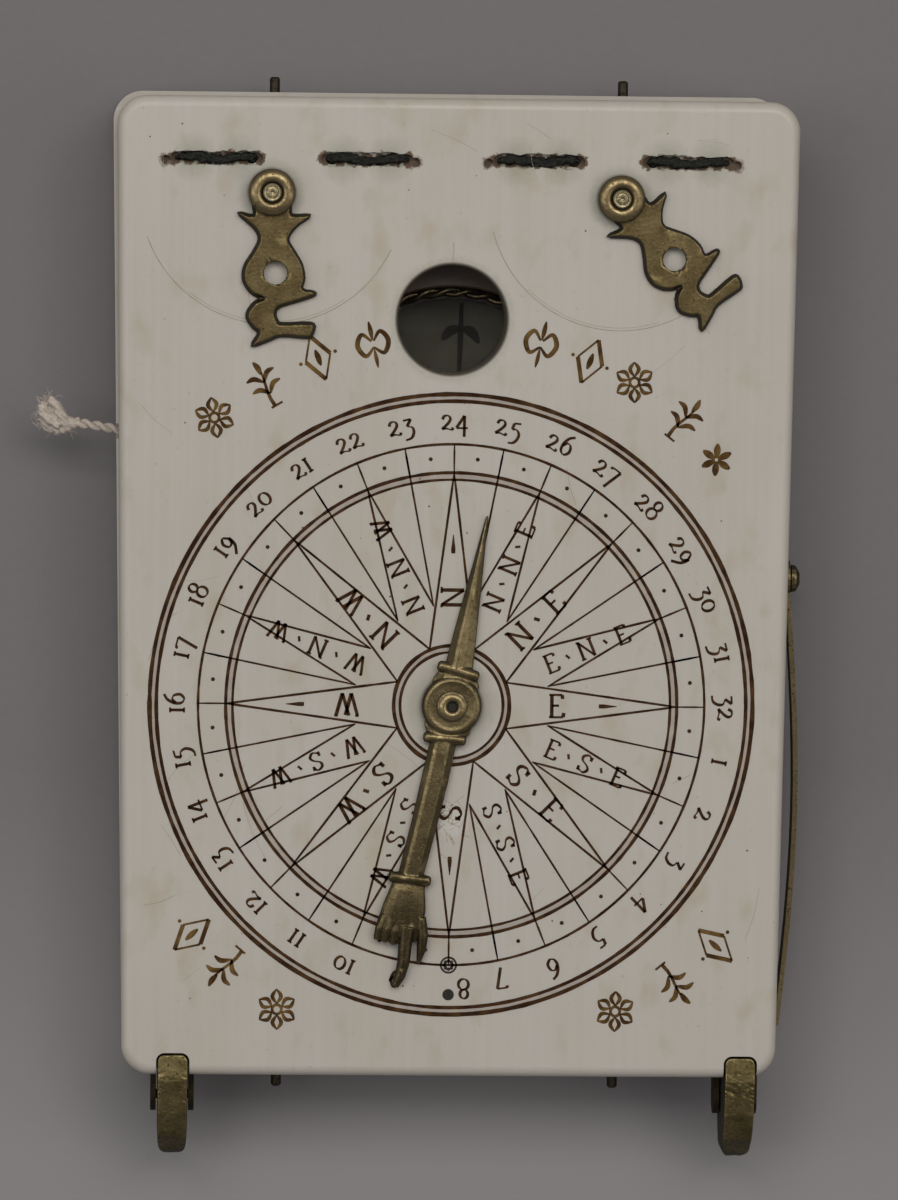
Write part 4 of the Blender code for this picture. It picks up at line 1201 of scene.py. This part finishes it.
def slot_wires(mat):
    rng = random.Random(11)
    for word, face, outer, sign in HALVES.values():
        for number, x0, x1, y in slot_boxes(word):
            made = slot_wire(f"{word}_slot_wire_{number}", x0 + 0.35, x1 - 0.35, y, outer, sign, rng)
            leg_x, _ = slot_ends(number, x0, x1)
            join(made, [prism("leg", circle(leg_x, y, 0.45, 14), *sorted((face, outer - sign * 0.5)))])
            piece(made, "lid" if word == "upper" else "base", mat, [f"{word}_staple_{number}"])


def join(first, others):
    """Adds the other objects' meshes to the first one's."""
    bm = bmesh.new()
    bm.from_mesh(first.data)
    for other in others:
        bm.from_mesh(other.data)
        bpy.data.objects.remove(other, do_unlink=True)
    bm.to_mesh(first.data)
    bm.free()
    first.data.shade_smooth()
    return first


# Levers, washers and rivets

LEVER_OUTLINE = (
    (-3.6, -2.2), (-1.9, -2.5), (-1.9, -1.2), (0.0, -2.0), (1.9, -1.2), (2.1, -2.4), (4.1, -2.4),
    (2.9, -3.35), (2.1, -4.2), (1.75, -5.1), (2.3, -6.1), (3.2, -7.6), (3.5, -9.1), (3.3, -10.3),
    (4.6, -10.6), (4.5, -11.0), (2.4, -11.7), (0.9, -12.2), (0.45, -12.9), (0.7, -13.7),
    (1.2, -14.0), (4.2, -13.9), (4.65, -14.4), (4.3, -15.3), (3.7, -15.45), (1.1, -15.3),
    (-0.2, -15.8), (-2.0, -16.4), (-1.25, -15.0), (-1.8, -14.5), (-2.5, -13.5), (-2.4, -12.6),
    (-1.6, -11.7), (-0.75, -11.3), (-1.8, -10.9), (-2.6, -10.1), (-3.0, -9.1), (-2.8, -7.8),
    (-2.0, -6.5), (-1.35, -5.2), (-1.5, -4.3), (-2.25, -3.45),
)


def inset(outline, back):
    """An outline moved in by a distance, along the mean normal at each point."""
    area = sum(a[0] * b[1] - b[0] * a[1] for a, b in zip(outline, outline[1:] + outline[:1]))
    back *= math.copysign(1, area)
    moved = []
    for i, p in enumerate(outline):
        along = (Vector(outline[(i + 1) % len(outline)]) - Vector(outline[i - 1])).normalized()
        inward = Vector((-along.y, along.x)) * back
        moved.append((p[0] + inward.x, p[1] + inward.y))
    return moved


def lever(side, mat):
    at, turn = LEVER_PIVOTS[side], LEVER_TURNS[side]
    low, high = levels(f"lever_{side}")
    outline = [(p.x, p.y) for p in smooth(LEVER_OUTLINE, 3, closed=True)]
    bm = bmesh.new()
    loft_into(bm, [placed(turned_about(inset(outline, back), at, turn), level, "Z")
                   for back, level in ((-0.2, low), (-0.16, low + 0.25), (0.2, high))])
    body = made_from("lever_body", bm)
    eye = prism("lever_eye", circle(at.x, at.y, 2.2), low, high)
    ring_at = turned_about([(0.45, -8.6)], at, turn)[0]
    made = cast(f"swing_lever_{side}", [body, eye], 0.085, 4, 0.4)
    cut(made, [drill(ring_at, 1.25, low - 1, high + 1), drill(at, 0.8, low - 1, high + 1)])
    piece(made, f"lever_{side}", mat, [f"lever_{side}"])


def lever_boss(side, washer_mat, rivet_mat):
    """The domed washer and the riveted end that hold a lever."""
    at = LEVER_PIVOTS[side]
    low, high = levels(f"lever_washer_{side}")
    ring = [(1.0, low), (2.2, low), (2.42, low + 0.1), (2.5, low + 0.3), (2.44, low + 0.5),
            (2.2, low + 0.72), (1.9, low + 0.85), (1.6, high), (1.35, low + 0.84), (1.15, low + 0.7),
            (1.02, low + 0.5), (1.0, low)]
    made = turned(f"lever_boss_{side}", ring, at)
    piece(made, "lid", washer_mat, [f"lever_washer_{side}"])
    foot, head = levels(f"lever_rivet_{side}")
    shaft = [(0.6, foot), (0.7, foot + 0.1), (0.7, head - 0.62), (0.95, head - 0.5), (1.0, head - 0.3),
             (0.97, head - 0.1), (0.85, head), (0.68, head - 0.01), (0.6, head - 0.09), (0.35, head - 0.05),
             (0.2, head - 0.07), (0.12, head - 0.2), (1e-3, head - 0.22)]
    made = turned(f"lever_pin_{side}", shaft, at)
    piece(made, "lid", rivet_mat, [f"lever_rivet_{side}"])


# Pointer

def across_pointer(x, y, z):
    """A point given across and along the pointer, put in place."""
    u, v = turned_about([(x, y)], ROSE, POINTER_TURN)[0]
    return Vector((u, v, z)) * MM


def pointer_loft(name, stations, section):
    """A solid through stations (along, middle, half width, height), with a section of unit points."""
    low, _ = levels("pointer")
    bm = bmesh.new()
    rings = []
    for along, mid, half, height in stations:
        rings.append([across_pointer(mid + u * half, along, low + v * height) for u, v in section])
    loft_into(bm, rings)
    return made_from(name, bm, None)


COLLAR_RISE = 0.12  # how far the collars may stand above the CAD pointer
GABLE = ((-1, 0), (1, 0), (1, 0.38), (0.2, 0.86), (-0.25, 1.0), (-0.5, 0.86), (-1, 0.36))
BAR = ((-1, 0), (1, 0), (1, 0.45), (0.5, 0.96), (-0.35, 1.0), (-0.62, 0.9), (-1, 0.45))
ROUND = tuple((math.cos(math.radians(t)), 0.5 + 0.5 * math.sin(math.radians(t))) for t in range(0, 360, 24))


def finger(name, points, radii):
    """A finger as a tube through (across, along, height) points, its base on the leaf side."""
    low, _ = levels("pointer")
    bm = bmesh.new()
    tube_into(bm, [across_pointer(x, y, low + z) for x, y, z in points], [r * MM for r in radii], 12)
    return made_from(name, bm, None)


# The pointer's casting: lofts as (along, across, half width, height) and fingers as (across, along, height)
LOFTS = (
    ("blade", ((3.9, 0, 1.52, 1.25), (8, 0, 1.22, 1.15), (13, 0, 0.8, 0.95), (18, 0, 0.36, 0.75),
               (20.3, 0, 0.16, 0.55), (20.7, 0, 0.08, 0.3)), GABLE),
    ("arm", ((-3.7, -0.15, 1.4, 1.2), (-8, -0.3, 1.45, 1.2), (-13, -0.55, 1.4, 1.15),
             (-18.8, -0.95, 1.35, 1.1)), BAR),
    ("neck", ((-3.9, 0, 1.7, 1.05), (-2.6, 0, 2.5, 1.1), (2.6, 0, 2.5, 1.1), (3.9, 0, 1.8, 1.05)), BAR),
)
PALM = ((-19.3, -0.95, 1.7, 1.0), (-20.4, -1.0, 1.95, 1.2), (-22.2, -1.0, 2.35, 1.28),
        (-24.2, -1.15, 2.5, 1.25), (-25.4, -1.3, 2.3, 1.1), (-25.9, -1.4, 1.8, 0.8))
COLLARS = ((3.8, 0.0, -0.06), (-3.6, -0.1, 0.05), (-19.1, -1.0, 0.03))  # along, across, lean
COLLAR_RADII = (0.34, 0.58, 0.64, 0.64, 0.64, 0.58, 0.34)
INDEX = ((-0.3, -24.2, 0.72), (-0.2, -26, 0.7), (0.0, -28, 0.62), (-0.1, -29.6, 0.55), (-0.45, -30.8, 0.45))
INDEX_RADII = (0.82, 0.76, 0.7, 0.6, 0.42)
THUMB = ((1.0, -23.0, 0.6), (1.5, -24.8, 0.64), (1.65, -26.4, 0.55), (1.6, -27.9, 0.42))
THUMB_RADII = (0.55, 0.6, 0.52, 0.22)
CURLED_RADII = (0.42, 0.46, 0.44, 0.3)


def pointer_collars():
    """The raised bands across the pointer."""
    for along, across, lean in COLLARS:
        ends = [(across + s * 2.3, along + lean * s * 4, 0.62) for s in (-1, -0.9, -0.5, 0, 0.5, 0.9, 1)]
        yield finger("collar", ends, COLLAR_RADII)


def curled_fingers():
    for i, across in enumerate((-3.25, -2.4, -1.5)):
        tip = -26.0 - 0.12 * i
        knuckles = [(across + 0.3, -23.4, 0.75), (across, -24.8, 0.88), (across, tip, 0.7),
                    (across + 0.1, tip + 0.35, 0.35)]
        yield finger("curled", knuckles, CURLED_RADII)


def pointer(mat):
    """The pointing hand, its blade and its eye as one worn casting."""
    low, high = levels("pointer")
    hub = [(1e-3, low), (3.0, low), (3.2, low + 0.2), (3.18, low + 0.85), (3.0, low + 1.15), (2.7, high),
           (2.3, low + 1.22), (1.2, low + 1.2), (1e-3, low + 1.2)]
    parts = [pointer_loft(*loft) for loft in LOFTS]
    parts += pointer_collars()
    parts.append(turned("hub", hub, ROSE, 48))
    parts.append(pointer_loft("palm", PALM, ROUND))
    parts.append(finger("index", INDEX, INDEX_RADII))
    parts += curled_fingers()
    parts.append(finger("thumb", THUMB, THUMB_RADII))
    made = cast("pointer_casting", parts, 0.09, 2, 0.35)
    cut(made, [prism("eye_cutter", circle(*ROSE.xy, 1.0, 32), low - 1, high + 1)])
    for vertex in made.data.vertices:
        vertex.co.z = max(low * MM, min(vertex.co.z, (high + COLLAR_RISE) * MM))
    piece(made, "pointer", mat, ["pointer"])


def pointer_pivot(hub_mat, tube_mat, hole_mat):
    """The collar under the pointer, the tube rivet through it, and the shade inside the tube."""
    low, high = levels("pointer_washer")
    ring = [(1.05, low), (1.6, low), (1.65, low + 0.08), (1.6, high - 0.1), (1.4, high), (1.05, high),
            (1.05, low)]
    piece(turned("pointer_collar", ring, ROSE), "lid", hub_mat, ["pointer_washer"])
    foot, top = levels("pointer_rivet")
    tube = [(0.3, foot), (0.9, foot), (0.9, top - 0.52), (1.3, top - 0.5), (1.44, top - 0.38),
            (1.42, top - 0.2), (1.2, top - 0.04), (0.95, top), (0.72, top - 0.06), (0.55, top - 0.25),
            (0.48, top - 0.7), (1e-3, top - 0.9)]
    piece(turned("pointer_tube", tube, ROSE), "lid", tube_mat, ["pointer_rivet"])
    shade = [(1e-3, top - 0.88), (0.46, top - 0.72), (0.5, top - 0.5), (1e-3, top - 0.55)]
    piece(turned("pointer_tube_shade", shade, ROSE, 32), "lid", hole_mat)


# Catches

CATCH_PROFILE = (
    (5.2, 8.1), (2.6, 8.15), (-1.2, 7.2), (-4.0, 5.3), (-5.8, 2.9), (-6.4, 0.3), (-6.2, -1.2), (-5.4, -2.1),
    (-3.0, -2.4), (0.8, -2.4), (1.9, -1.8), (2.35, -1.0), (2.35, 2.6), (4.6, 3.3), (5.2, 3.8),
)
HEAD_FROM = 6.0  # height above the pin where the nicks in the head begin
NICK_DEPTH = 0.35
NICK_Y = 1.6


def catch_width(y):
    """The catch's width at a y from its pin, as a share of its full width: it narrows to its foot."""
    slim = 1 - 0.13 * min(1.0, max(0.0, (-y - 2.0) / 4.5)) ** 2
    return slim - 0.34 * min(1.0, max(0.0, (-y - 5.0) / 1.4)) ** 2


def catch(side, mat):
    """A pitted brass tongue, its head in the lid's notch."""
    at = CATCHES[side]
    outline = [(at.y + u, at.z + v) for u, v in CATCH_PROFILE]
    body = prism("catch_body", outline, at.x - 2.6, at.x + 2.6, "X")
    cut(body, [prism("plan_cutter", catch_plan(at.x, 0), 0, TOP + 1)], "INTERSECT")
    cut(body, [drill((at.y, at.z), 0.6, at.x - 3, at.x + 3, "X")])
    made = cast(f"brass_catch_{side}", [body], 0.11, 4, 0.45, 0.05)
    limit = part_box(f"catch_{side}")
    for vertex in made.data.vertices:
        y, z = vertex.co.y / MM - at.y, vertex.co.z / MM - at.z
        if z > HEAD_FROM:
            nick = noise.noise(Vector((vertex.co.x * 900, y * 5.0 + vertex.co.x * 2500, 1.7)))
            vertex.co.z -= max(0.0, nick) * NICK_DEPTH * MM * max(0.0, 1 - abs(y - NICK_Y) / 2.0)
        vertex.co.x = at.x * MM + (vertex.co.x - at.x * MM) * catch_width(y)
        for axis in range(3):
            vertex.co[axis] = max(limit[0][axis], min(vertex.co[axis], limit[1][axis]))
    piece(made, f"catch_{side}", mat, [f"catch_{side}"])


# String

def twisted_strands(bm, line, strands, offset, radius, pitch, sides=8):
    """Strands wound round a line, in metres."""
    lengths = [0.0]
    for a, b in zip(line, line[1:]):
        lengths.append(lengths[-1] + (b - a).length)
    for k in range(strands):
        wound = []
        for p, far, (side, other) in zip(line, lengths, frames_along(line)):
            t = 2 * math.pi * (far / pitch + k / strands)
            wound.append(p + (side * math.cos(t) + other * math.sin(t)) * offset)
        tube_into(bm, wound, [radius] * len(wound), sides)


def evenly(line, step):
    """The same line with points an even step apart."""
    out = [line[0]]
    left = step
    for a, b in zip(line, line[1:]):
        long = (b - a).length
        done = 0.0
        while long - done > left:
            done += left
            out.append(a.lerp(b, done / long))
            left = step
        left -= long - done
    return out + [line[-1]]


def string(mat):
    """The twisted string in its channel, and the frayed knot at its free end."""
    line = evenly(string_line(6), 0.22 * MM)
    bm = bmesh.new()
    twisted_strands(bm, line, 2, 0.27 * MM, 0.29 * MM, 2.7 * MM)
    made = made_from("twisted_string", bm, None)
    piece(made, "base", mat, ["gnomon_string"])
    knot = frayed_knot(line[-1])
    piece(knot, "base", mat, ["string_knot"])
    centre = string_line()
    length = sum((b - a).length for a, b in zip(centre, centre[1:]))
    list(centre[0])
    [list(p) for p in centre]


# The knot's lobes in mm from the string's end: each one's line, and its radius along the line
KNOT_LOBES = (
    (((0.3, 0, 0), (-0.9, -0.15, -0.2), (-1.9, 0.1, -0.3), (-2.7, 0.8, -0.2), (-3.1, 1.7, -0.1)),
     (0.5, 0.62, 0.7, 0.6, 0.35)),
    (((0.0, 0, 0), (-1.1, -0.5, -0.35), (-2.3, -0.65, -0.5), (-3.3, -0.2, -0.5), (-4.0, 0.5, -0.4)),
     (0.45, 0.62, 0.7, 0.62, 0.35)),
    (((-0.6, 0.1, 0), (-1.3, 0.5, 0.15), (-1.9, 1.2, 0.25), (-2.4, 2.1, 0.2), (-3.0, 2.7, 0.0)),
     (0.4, 0.5, 0.55, 0.5, 0.3)),
    (((-1.9, -0.4, 0.3), (-2.8, 0.2, 0.3), (-3.6, 0.9, 0.1), (-3.7, 1.6, 0.0), (-3.3, 2.2, 0.0)),
     (0.4, 0.55, 0.55, 0.45, 0.3)),
)
FIBRES = 150
FIBRE_R = 0.022


def knot_lobes(start):
    """The knot's four lobes, each a tapered tube."""
    for lobe, widths in KNOT_LOBES:
        line = smooth([start / MM + Vector(p) for p in lobe], 5)
        radii = smooth([(w, 0) for w in widths], 5)
        bm = bmesh.new()
        tube_into(bm, [p * MM for p in line], [r.x * MM for r in radii], 12)
        yield made_from("lobe", bm, None)


def fibre(start, rng):
    """One loose fibre's line in mm, from a place on a lobe."""
    lobe, _ = rng.choice(KNOT_LOBES)
    base = Vector(rng.choice(lobe[1:])) + start / MM
    way = Vector((rng.uniform(-1, 0.5), rng.uniform(-0.7, 1.0), rng.uniform(-0.4, 0.5))).normalized()
    curl = Vector((rng.uniform(-1, 1), rng.uniform(-1, 1), rng.uniform(-0.5, 0.5)))
    reach = rng.uniform(0.5, 1.25)
    return smooth([base, base + way * reach * 0.6, base + way * reach + curl * 0.3,
                   base + way * reach * 1.15 + curl * 0.7], 4)


def frayed_knot(start):
    """Soft lobes of unlaid cotton that curl up and back, with loose fibres."""
    made = cast("frayed_knot", list(knot_lobes(start)), 0.12, 2, 0.7)
    for vertex in made.data.vertices:
        p = vertex.co / MM
        ridge = math.sin(p.x * 7 + p.y * 9 + 2 * noise.noise(p * 0.9)) * 0.07
        lump = noise.fractal(p * 1.4, 1.0, 2.0, 3) * 0.16
        vertex.co += vertex.normal * (ridge + lump) * MM
    rng = random.Random(5)
    bm = bmesh.new()
    bm.from_mesh(made.data)
    for _ in range(FIBRES):
        line = fibre(start, rng)
        tube_into(bm, [p * MM for p in line], [FIBRE_R * MM] * len(line), 4)
    bm.to_mesh(made.data)
    bm.free()
    made.data.shade_smooth()
    low, _ = CAD_BOX
    for vertex in made.data.vertices:
        vertex.co.x = max(vertex.co.x, low.x - 0.5 * MM)
        vertex.co.z = max(vertex.co.z, 0.5 * MM)
    return made


# Compass

RING_LAY = 4.6  # along the ring for one full twist
RING_STEPS = 360
RING_SIDES = 10
RING_WIRE_R = 0.32
RING_OFFSET = 0.28  # each wire's centre from the ring's centreline


def twisted_ring(mat):
    """Two wires twisted together round the glass."""
    low, high = corners("compass_ring")
    radius = (high.x - low.x) / 2 - (high.z - low.z) / 2
    middle_of_ring = Vector((*COMPASS.xy, (low.z + high.z) / 2))
    up = Vector((0, 0, 1))
    turns = round(2 * math.pi * radius / RING_LAY)
    bm = bmesh.new()
    for wire in range(2):
        rings = []
        for i in range(RING_STEPS):
            around = 2 * math.pi * i / RING_STEPS
            out = Vector((math.cos(around), math.sin(around), 0))
            t = 2 * math.pi * (turns * i / RING_STEPS + wire / 2)
            centre = middle_of_ring + out * radius + (out * math.cos(t) + up * math.sin(t)) * RING_OFFSET
            rings.append([bm.verts.new((centre + (out * u + up * v) * RING_WIRE_R) * MM)
                          for u, v in circle(0, 0, 1, RING_SIDES)])
        for a, b in zip(rings, rings[1:] + rings[:1]):
            band(bm, a, b)
    piece(made_from("twisted_ring", bm, None), "base", mat, ["compass_ring"])


def card_marks(ink):
    """The card's arrow in the window, its double circle and its divisions."""
    marks = Marks(levels("compass_card")[1])
    arrow = [(0.9, 30.4), (0.85, 28.6), (0.8, 26.6), (0.75, 25.0), (0.7, 22.6)]
    marks.strip(arrow, [0.4, 0.5, 0.66, 0.56, 0.4])
    marks.leaf([(0.9, 27.7), (-0.3, 27.4), (-1.2, 26.4)], 1.1)
    marks.leaf([(0.8, 27.7), (2.0, 27.3), (2.8, 26.1)], 1.1)
    open_arc = (math.radians(132), math.radians(408))
    for radius, width in ((13.0, 0.2), (12.2, 0.15)):
        marks.ring(COMPASS, radius, width, 1.0, 90, *open_arc)
    for i in range(2, 15):
        turn = math.radians(22.5 * i)
        way = Vector((math.sin(turn), math.cos(turn)))
        marks.line(COMPASS.xy + way * (10.4 if i % 4 else 4.0), COMPASS.xy + way * 12.2, 0.14)
    marks.made("card_marks", "base", ink)


NODE_FINISHES = (("compass_card", "grey_card"), ("compass_glass", "glass"), ("compass_needle", "blued_steel"),
                 ("bracket", "shadow_brass"), ("side_", "dark_brass"), ("pin", "pin_brass"))


def node_finish(name):
    """The finish of a CAD node that still shows, from the first word of the table its name holds."""
    for word, finish in NODE_FINISHES:
        if word in name:
            return finish
    return "old_brass"


def dress_nodes(mats):
    """Gives the CAD nodes that still show their finish, and breaks their edges."""
    for name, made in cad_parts.items():
        if made.hide_render:
            continue
        made.data.materials.clear()
        made.data.materials.append(mats[node_finish(name)])
        if name not in ("compass_card", "compass_glass"):
            modifier = made.modifiers.new("edges", "BEVEL")
            modifier.width = 0.08 * MM
            modifier.segments = 2
            modifier.limit_method = "ANGLE"


def stain_places():
    """Where brass and iron have stained the lid: (x, y, core, reach) in mm, by colour."""
    brown, green, pale, rims = [], [], [], []
    for number, x0, x1, y in slot_boxes("upper"):
        for step in range(7):
            brown.append((x0 + 0.3 + (x1 - x0 - 0.6) * step / 6, y, 0.68, 0.84))
        brown.append((slot_ends(number, x0, x1)[1], y - PIT_DROP, 0.42, 0.86))
        for share in (0.25, 0.75):
            green.append((x0 + (x1 - x0) * share, y, 1.0, 2.9))
    for at in LEVER_PIVOTS.values():
        rims.append((*at.xy, 2.4, 2.75))
        green.append((*at.xy, 2.4, 3.7))
    rims.append((*ROSE.xy, 3.1, 3.5))
    green.append((*ROSE.xy, 3.0, 5.4))
    rims.append((*WINDOW, WINDOW_R + 0.15, WINDOW_R + 0.4))
    green.append((*WINDOW, WINDOW_R, WINDOW_R + 1.2))
    pale.append((*on_rose(180, OLD_PLUG_AT), 1.2, 2.1))
    return brown, green, pale, rims


# Brass by name: its dark, middle and bright tones, then brass_material's own settings
BRASS = {
    "old_brass": ((0.014, 0.010, 0.004), (0.132, 0.094, 0.040), (0.225, 0.171, 0.078), {"mottled": 0.3}),
    "pointer_brass": ((0.018, 0.012, 0.005), (0.165, 0.124, 0.058), (0.29, 0.225, 0.112),
                      {"rough": (0.28, 0.42), "pits": 0.35, "mottled": 0.25, "darker_to": (-22.0, -36.0)}),
    "boss_brass": ((0.028, 0.019, 0.008), (0.215, 0.162, 0.080), (0.37, 0.285, 0.145),
                   {"rough": (0.27, 0.4), "pits": 0.25, "red": 0.06}),
    "worn_rivet_brass": ((0.06, 0.045, 0.02), (0.33, 0.27, 0.15), (0.52, 0.44, 0.26),
                         {"rough": (0.26, 0.38), "pits": 0.25}),
    "hub_brass": ((0.024, 0.017, 0.008), (0.150, 0.115, 0.058), (0.26, 0.205, 0.11),
                  {"rough": (0.3, 0.45), "pits": 0.25}),
    "dark_brass": ((0.014, 0.010, 0.005), (0.09, 0.066, 0.034), (0.17, 0.13, 0.065),
                   {"rough": (0.4, 0.6), "pits": 0.9}),
    "catch_brass": ((0.020, 0.014, 0.005), (0.175, 0.134, 0.054), (0.31, 0.245, 0.105),
                    {"rough": (0.36, 0.55), "pits": 0.8}),
    "ring_wire": ((0.004, 0.003, 0.002), (0.030, 0.022, 0.012), (0.075, 0.056, 0.032),
                  {"rough": (0.2, 0.32), "pits": 0.2}),
    "blued_steel": ((0.01, 0.012, 0.02), (0.05, 0.055, 0.08), (0.14, 0.15, 0.18),
                    {"rough": (0.25, 0.4), "pits": 0.2}),
    "shadow_brass": ((0.008, 0.006, 0.003), (0.030, 0.023, 0.012), (0.05, 0.038, 0.02),
                     {"rough": (0.5, 0.7), "pits": 0.5}),
    "pin_brass": ((0.008, 0.006, 0.004), (0.022, 0.017, 0.012), (0.045, 0.036, 0.024),
                  {"rough": (0.4, 0.6), "pits": 0.9}),
}
# Simple finishes by name: dark and light tones, then simple_material's own settings
PLAIN = {
    "corroded_wire": ((0.004, 0.004, 0.003), (0.026, 0.027, 0.020), 2.6, 0.6, 0.6, 0.2),
    "cotton": ((0.48, 0.405, 0.340), (0.64, 0.565, 0.480), 3.0, 0.95, 0.0, 0.08),
    "grey_card": ((0.135, 0.124, 0.096), (0.180, 0.166, 0.132), 0.5, 0.85),
    "hole_shade_and_ink": ((0.010, 0.008, 0.006), (0.030, 0.024, 0.016), 3.0, 0.8),
}
# Inks by name: the ink's tone, the tone where it is worn, and how far the wear goes
INKS = {
    "dark_ink": ((0.032, 0.013, 0.005), (0.12, 0.060, 0.022), 0.7),
    "ochre_ink": ((0.060, 0.028, 0.008), (0.21, 0.125, 0.038), 0.9),
    "faint_ink": ((0.37, 0.31, 0.225), (0.47, 0.42, 0.34), 0.8),
    "band_tint": ((0.41, 0.355, 0.305), (0.50, 0.452, 0.385), 0.8),
}


def all_materials():
    """Every finish but the two leaves' own, by name."""
    mats = {name: brass_material(name, *tones, **settings) for name, (*tones, settings) in BRASS.items()}
    mats.update((name, ink_material(name, *settings)) for name, settings in INKS.items())
    mats.update((name, simple_material(name, *settings)) for name, settings in PLAIN.items())
    mats["glass"] = glass_material()
    return mats


def build():
    """Makes every piece, then the light and the floor."""
    add_camera()
    mats = all_materials()
    # Painted shade: the base's face round the compass, which the lid shades, is tinted dark brown.
    compass_painted_shade = [(*COMPASS.xy, 20.2, 21.2)]
    string(mats["cotton"])
    base_leaf(ivory_material("ivory_base_finish", brown=compass_painted_shade, rims=compass_painted_shade))
    lid_leaf(ivory_material("ivory_lid_finish", *stain_places()))
    rose_tint(mats["band_tint"], mats["hole_shade_and_ink"])
    rose_lines(mats["dark_ink"])
    rose_lettering(mats["dark_ink"])
    ornaments(mats["ochre_ink"])
    wear_marks(mats["faint_ink"], mats["dark_ink"])
    inner_faces(mats["dark_ink"])
    slot_wires(mats["corroded_wire"])
    for side in ("left", "right"):
        lever(side, mats["old_brass"])
        lever_boss(side, mats["boss_brass"], mats["worn_rivet_brass"])
        catch(side, mats["catch_brass"])
    pointer(mats["pointer_brass"])
    pointer_pivot(mats["hub_brass"], mats["boss_brass"], mats["hole_shade_and_ink"])
    twisted_ring(mats["ring_wire"])
    card_marks(mats["hole_shade_and_ink"])
    dress_nodes(mats)
    add_light()
    add_floor()


build()
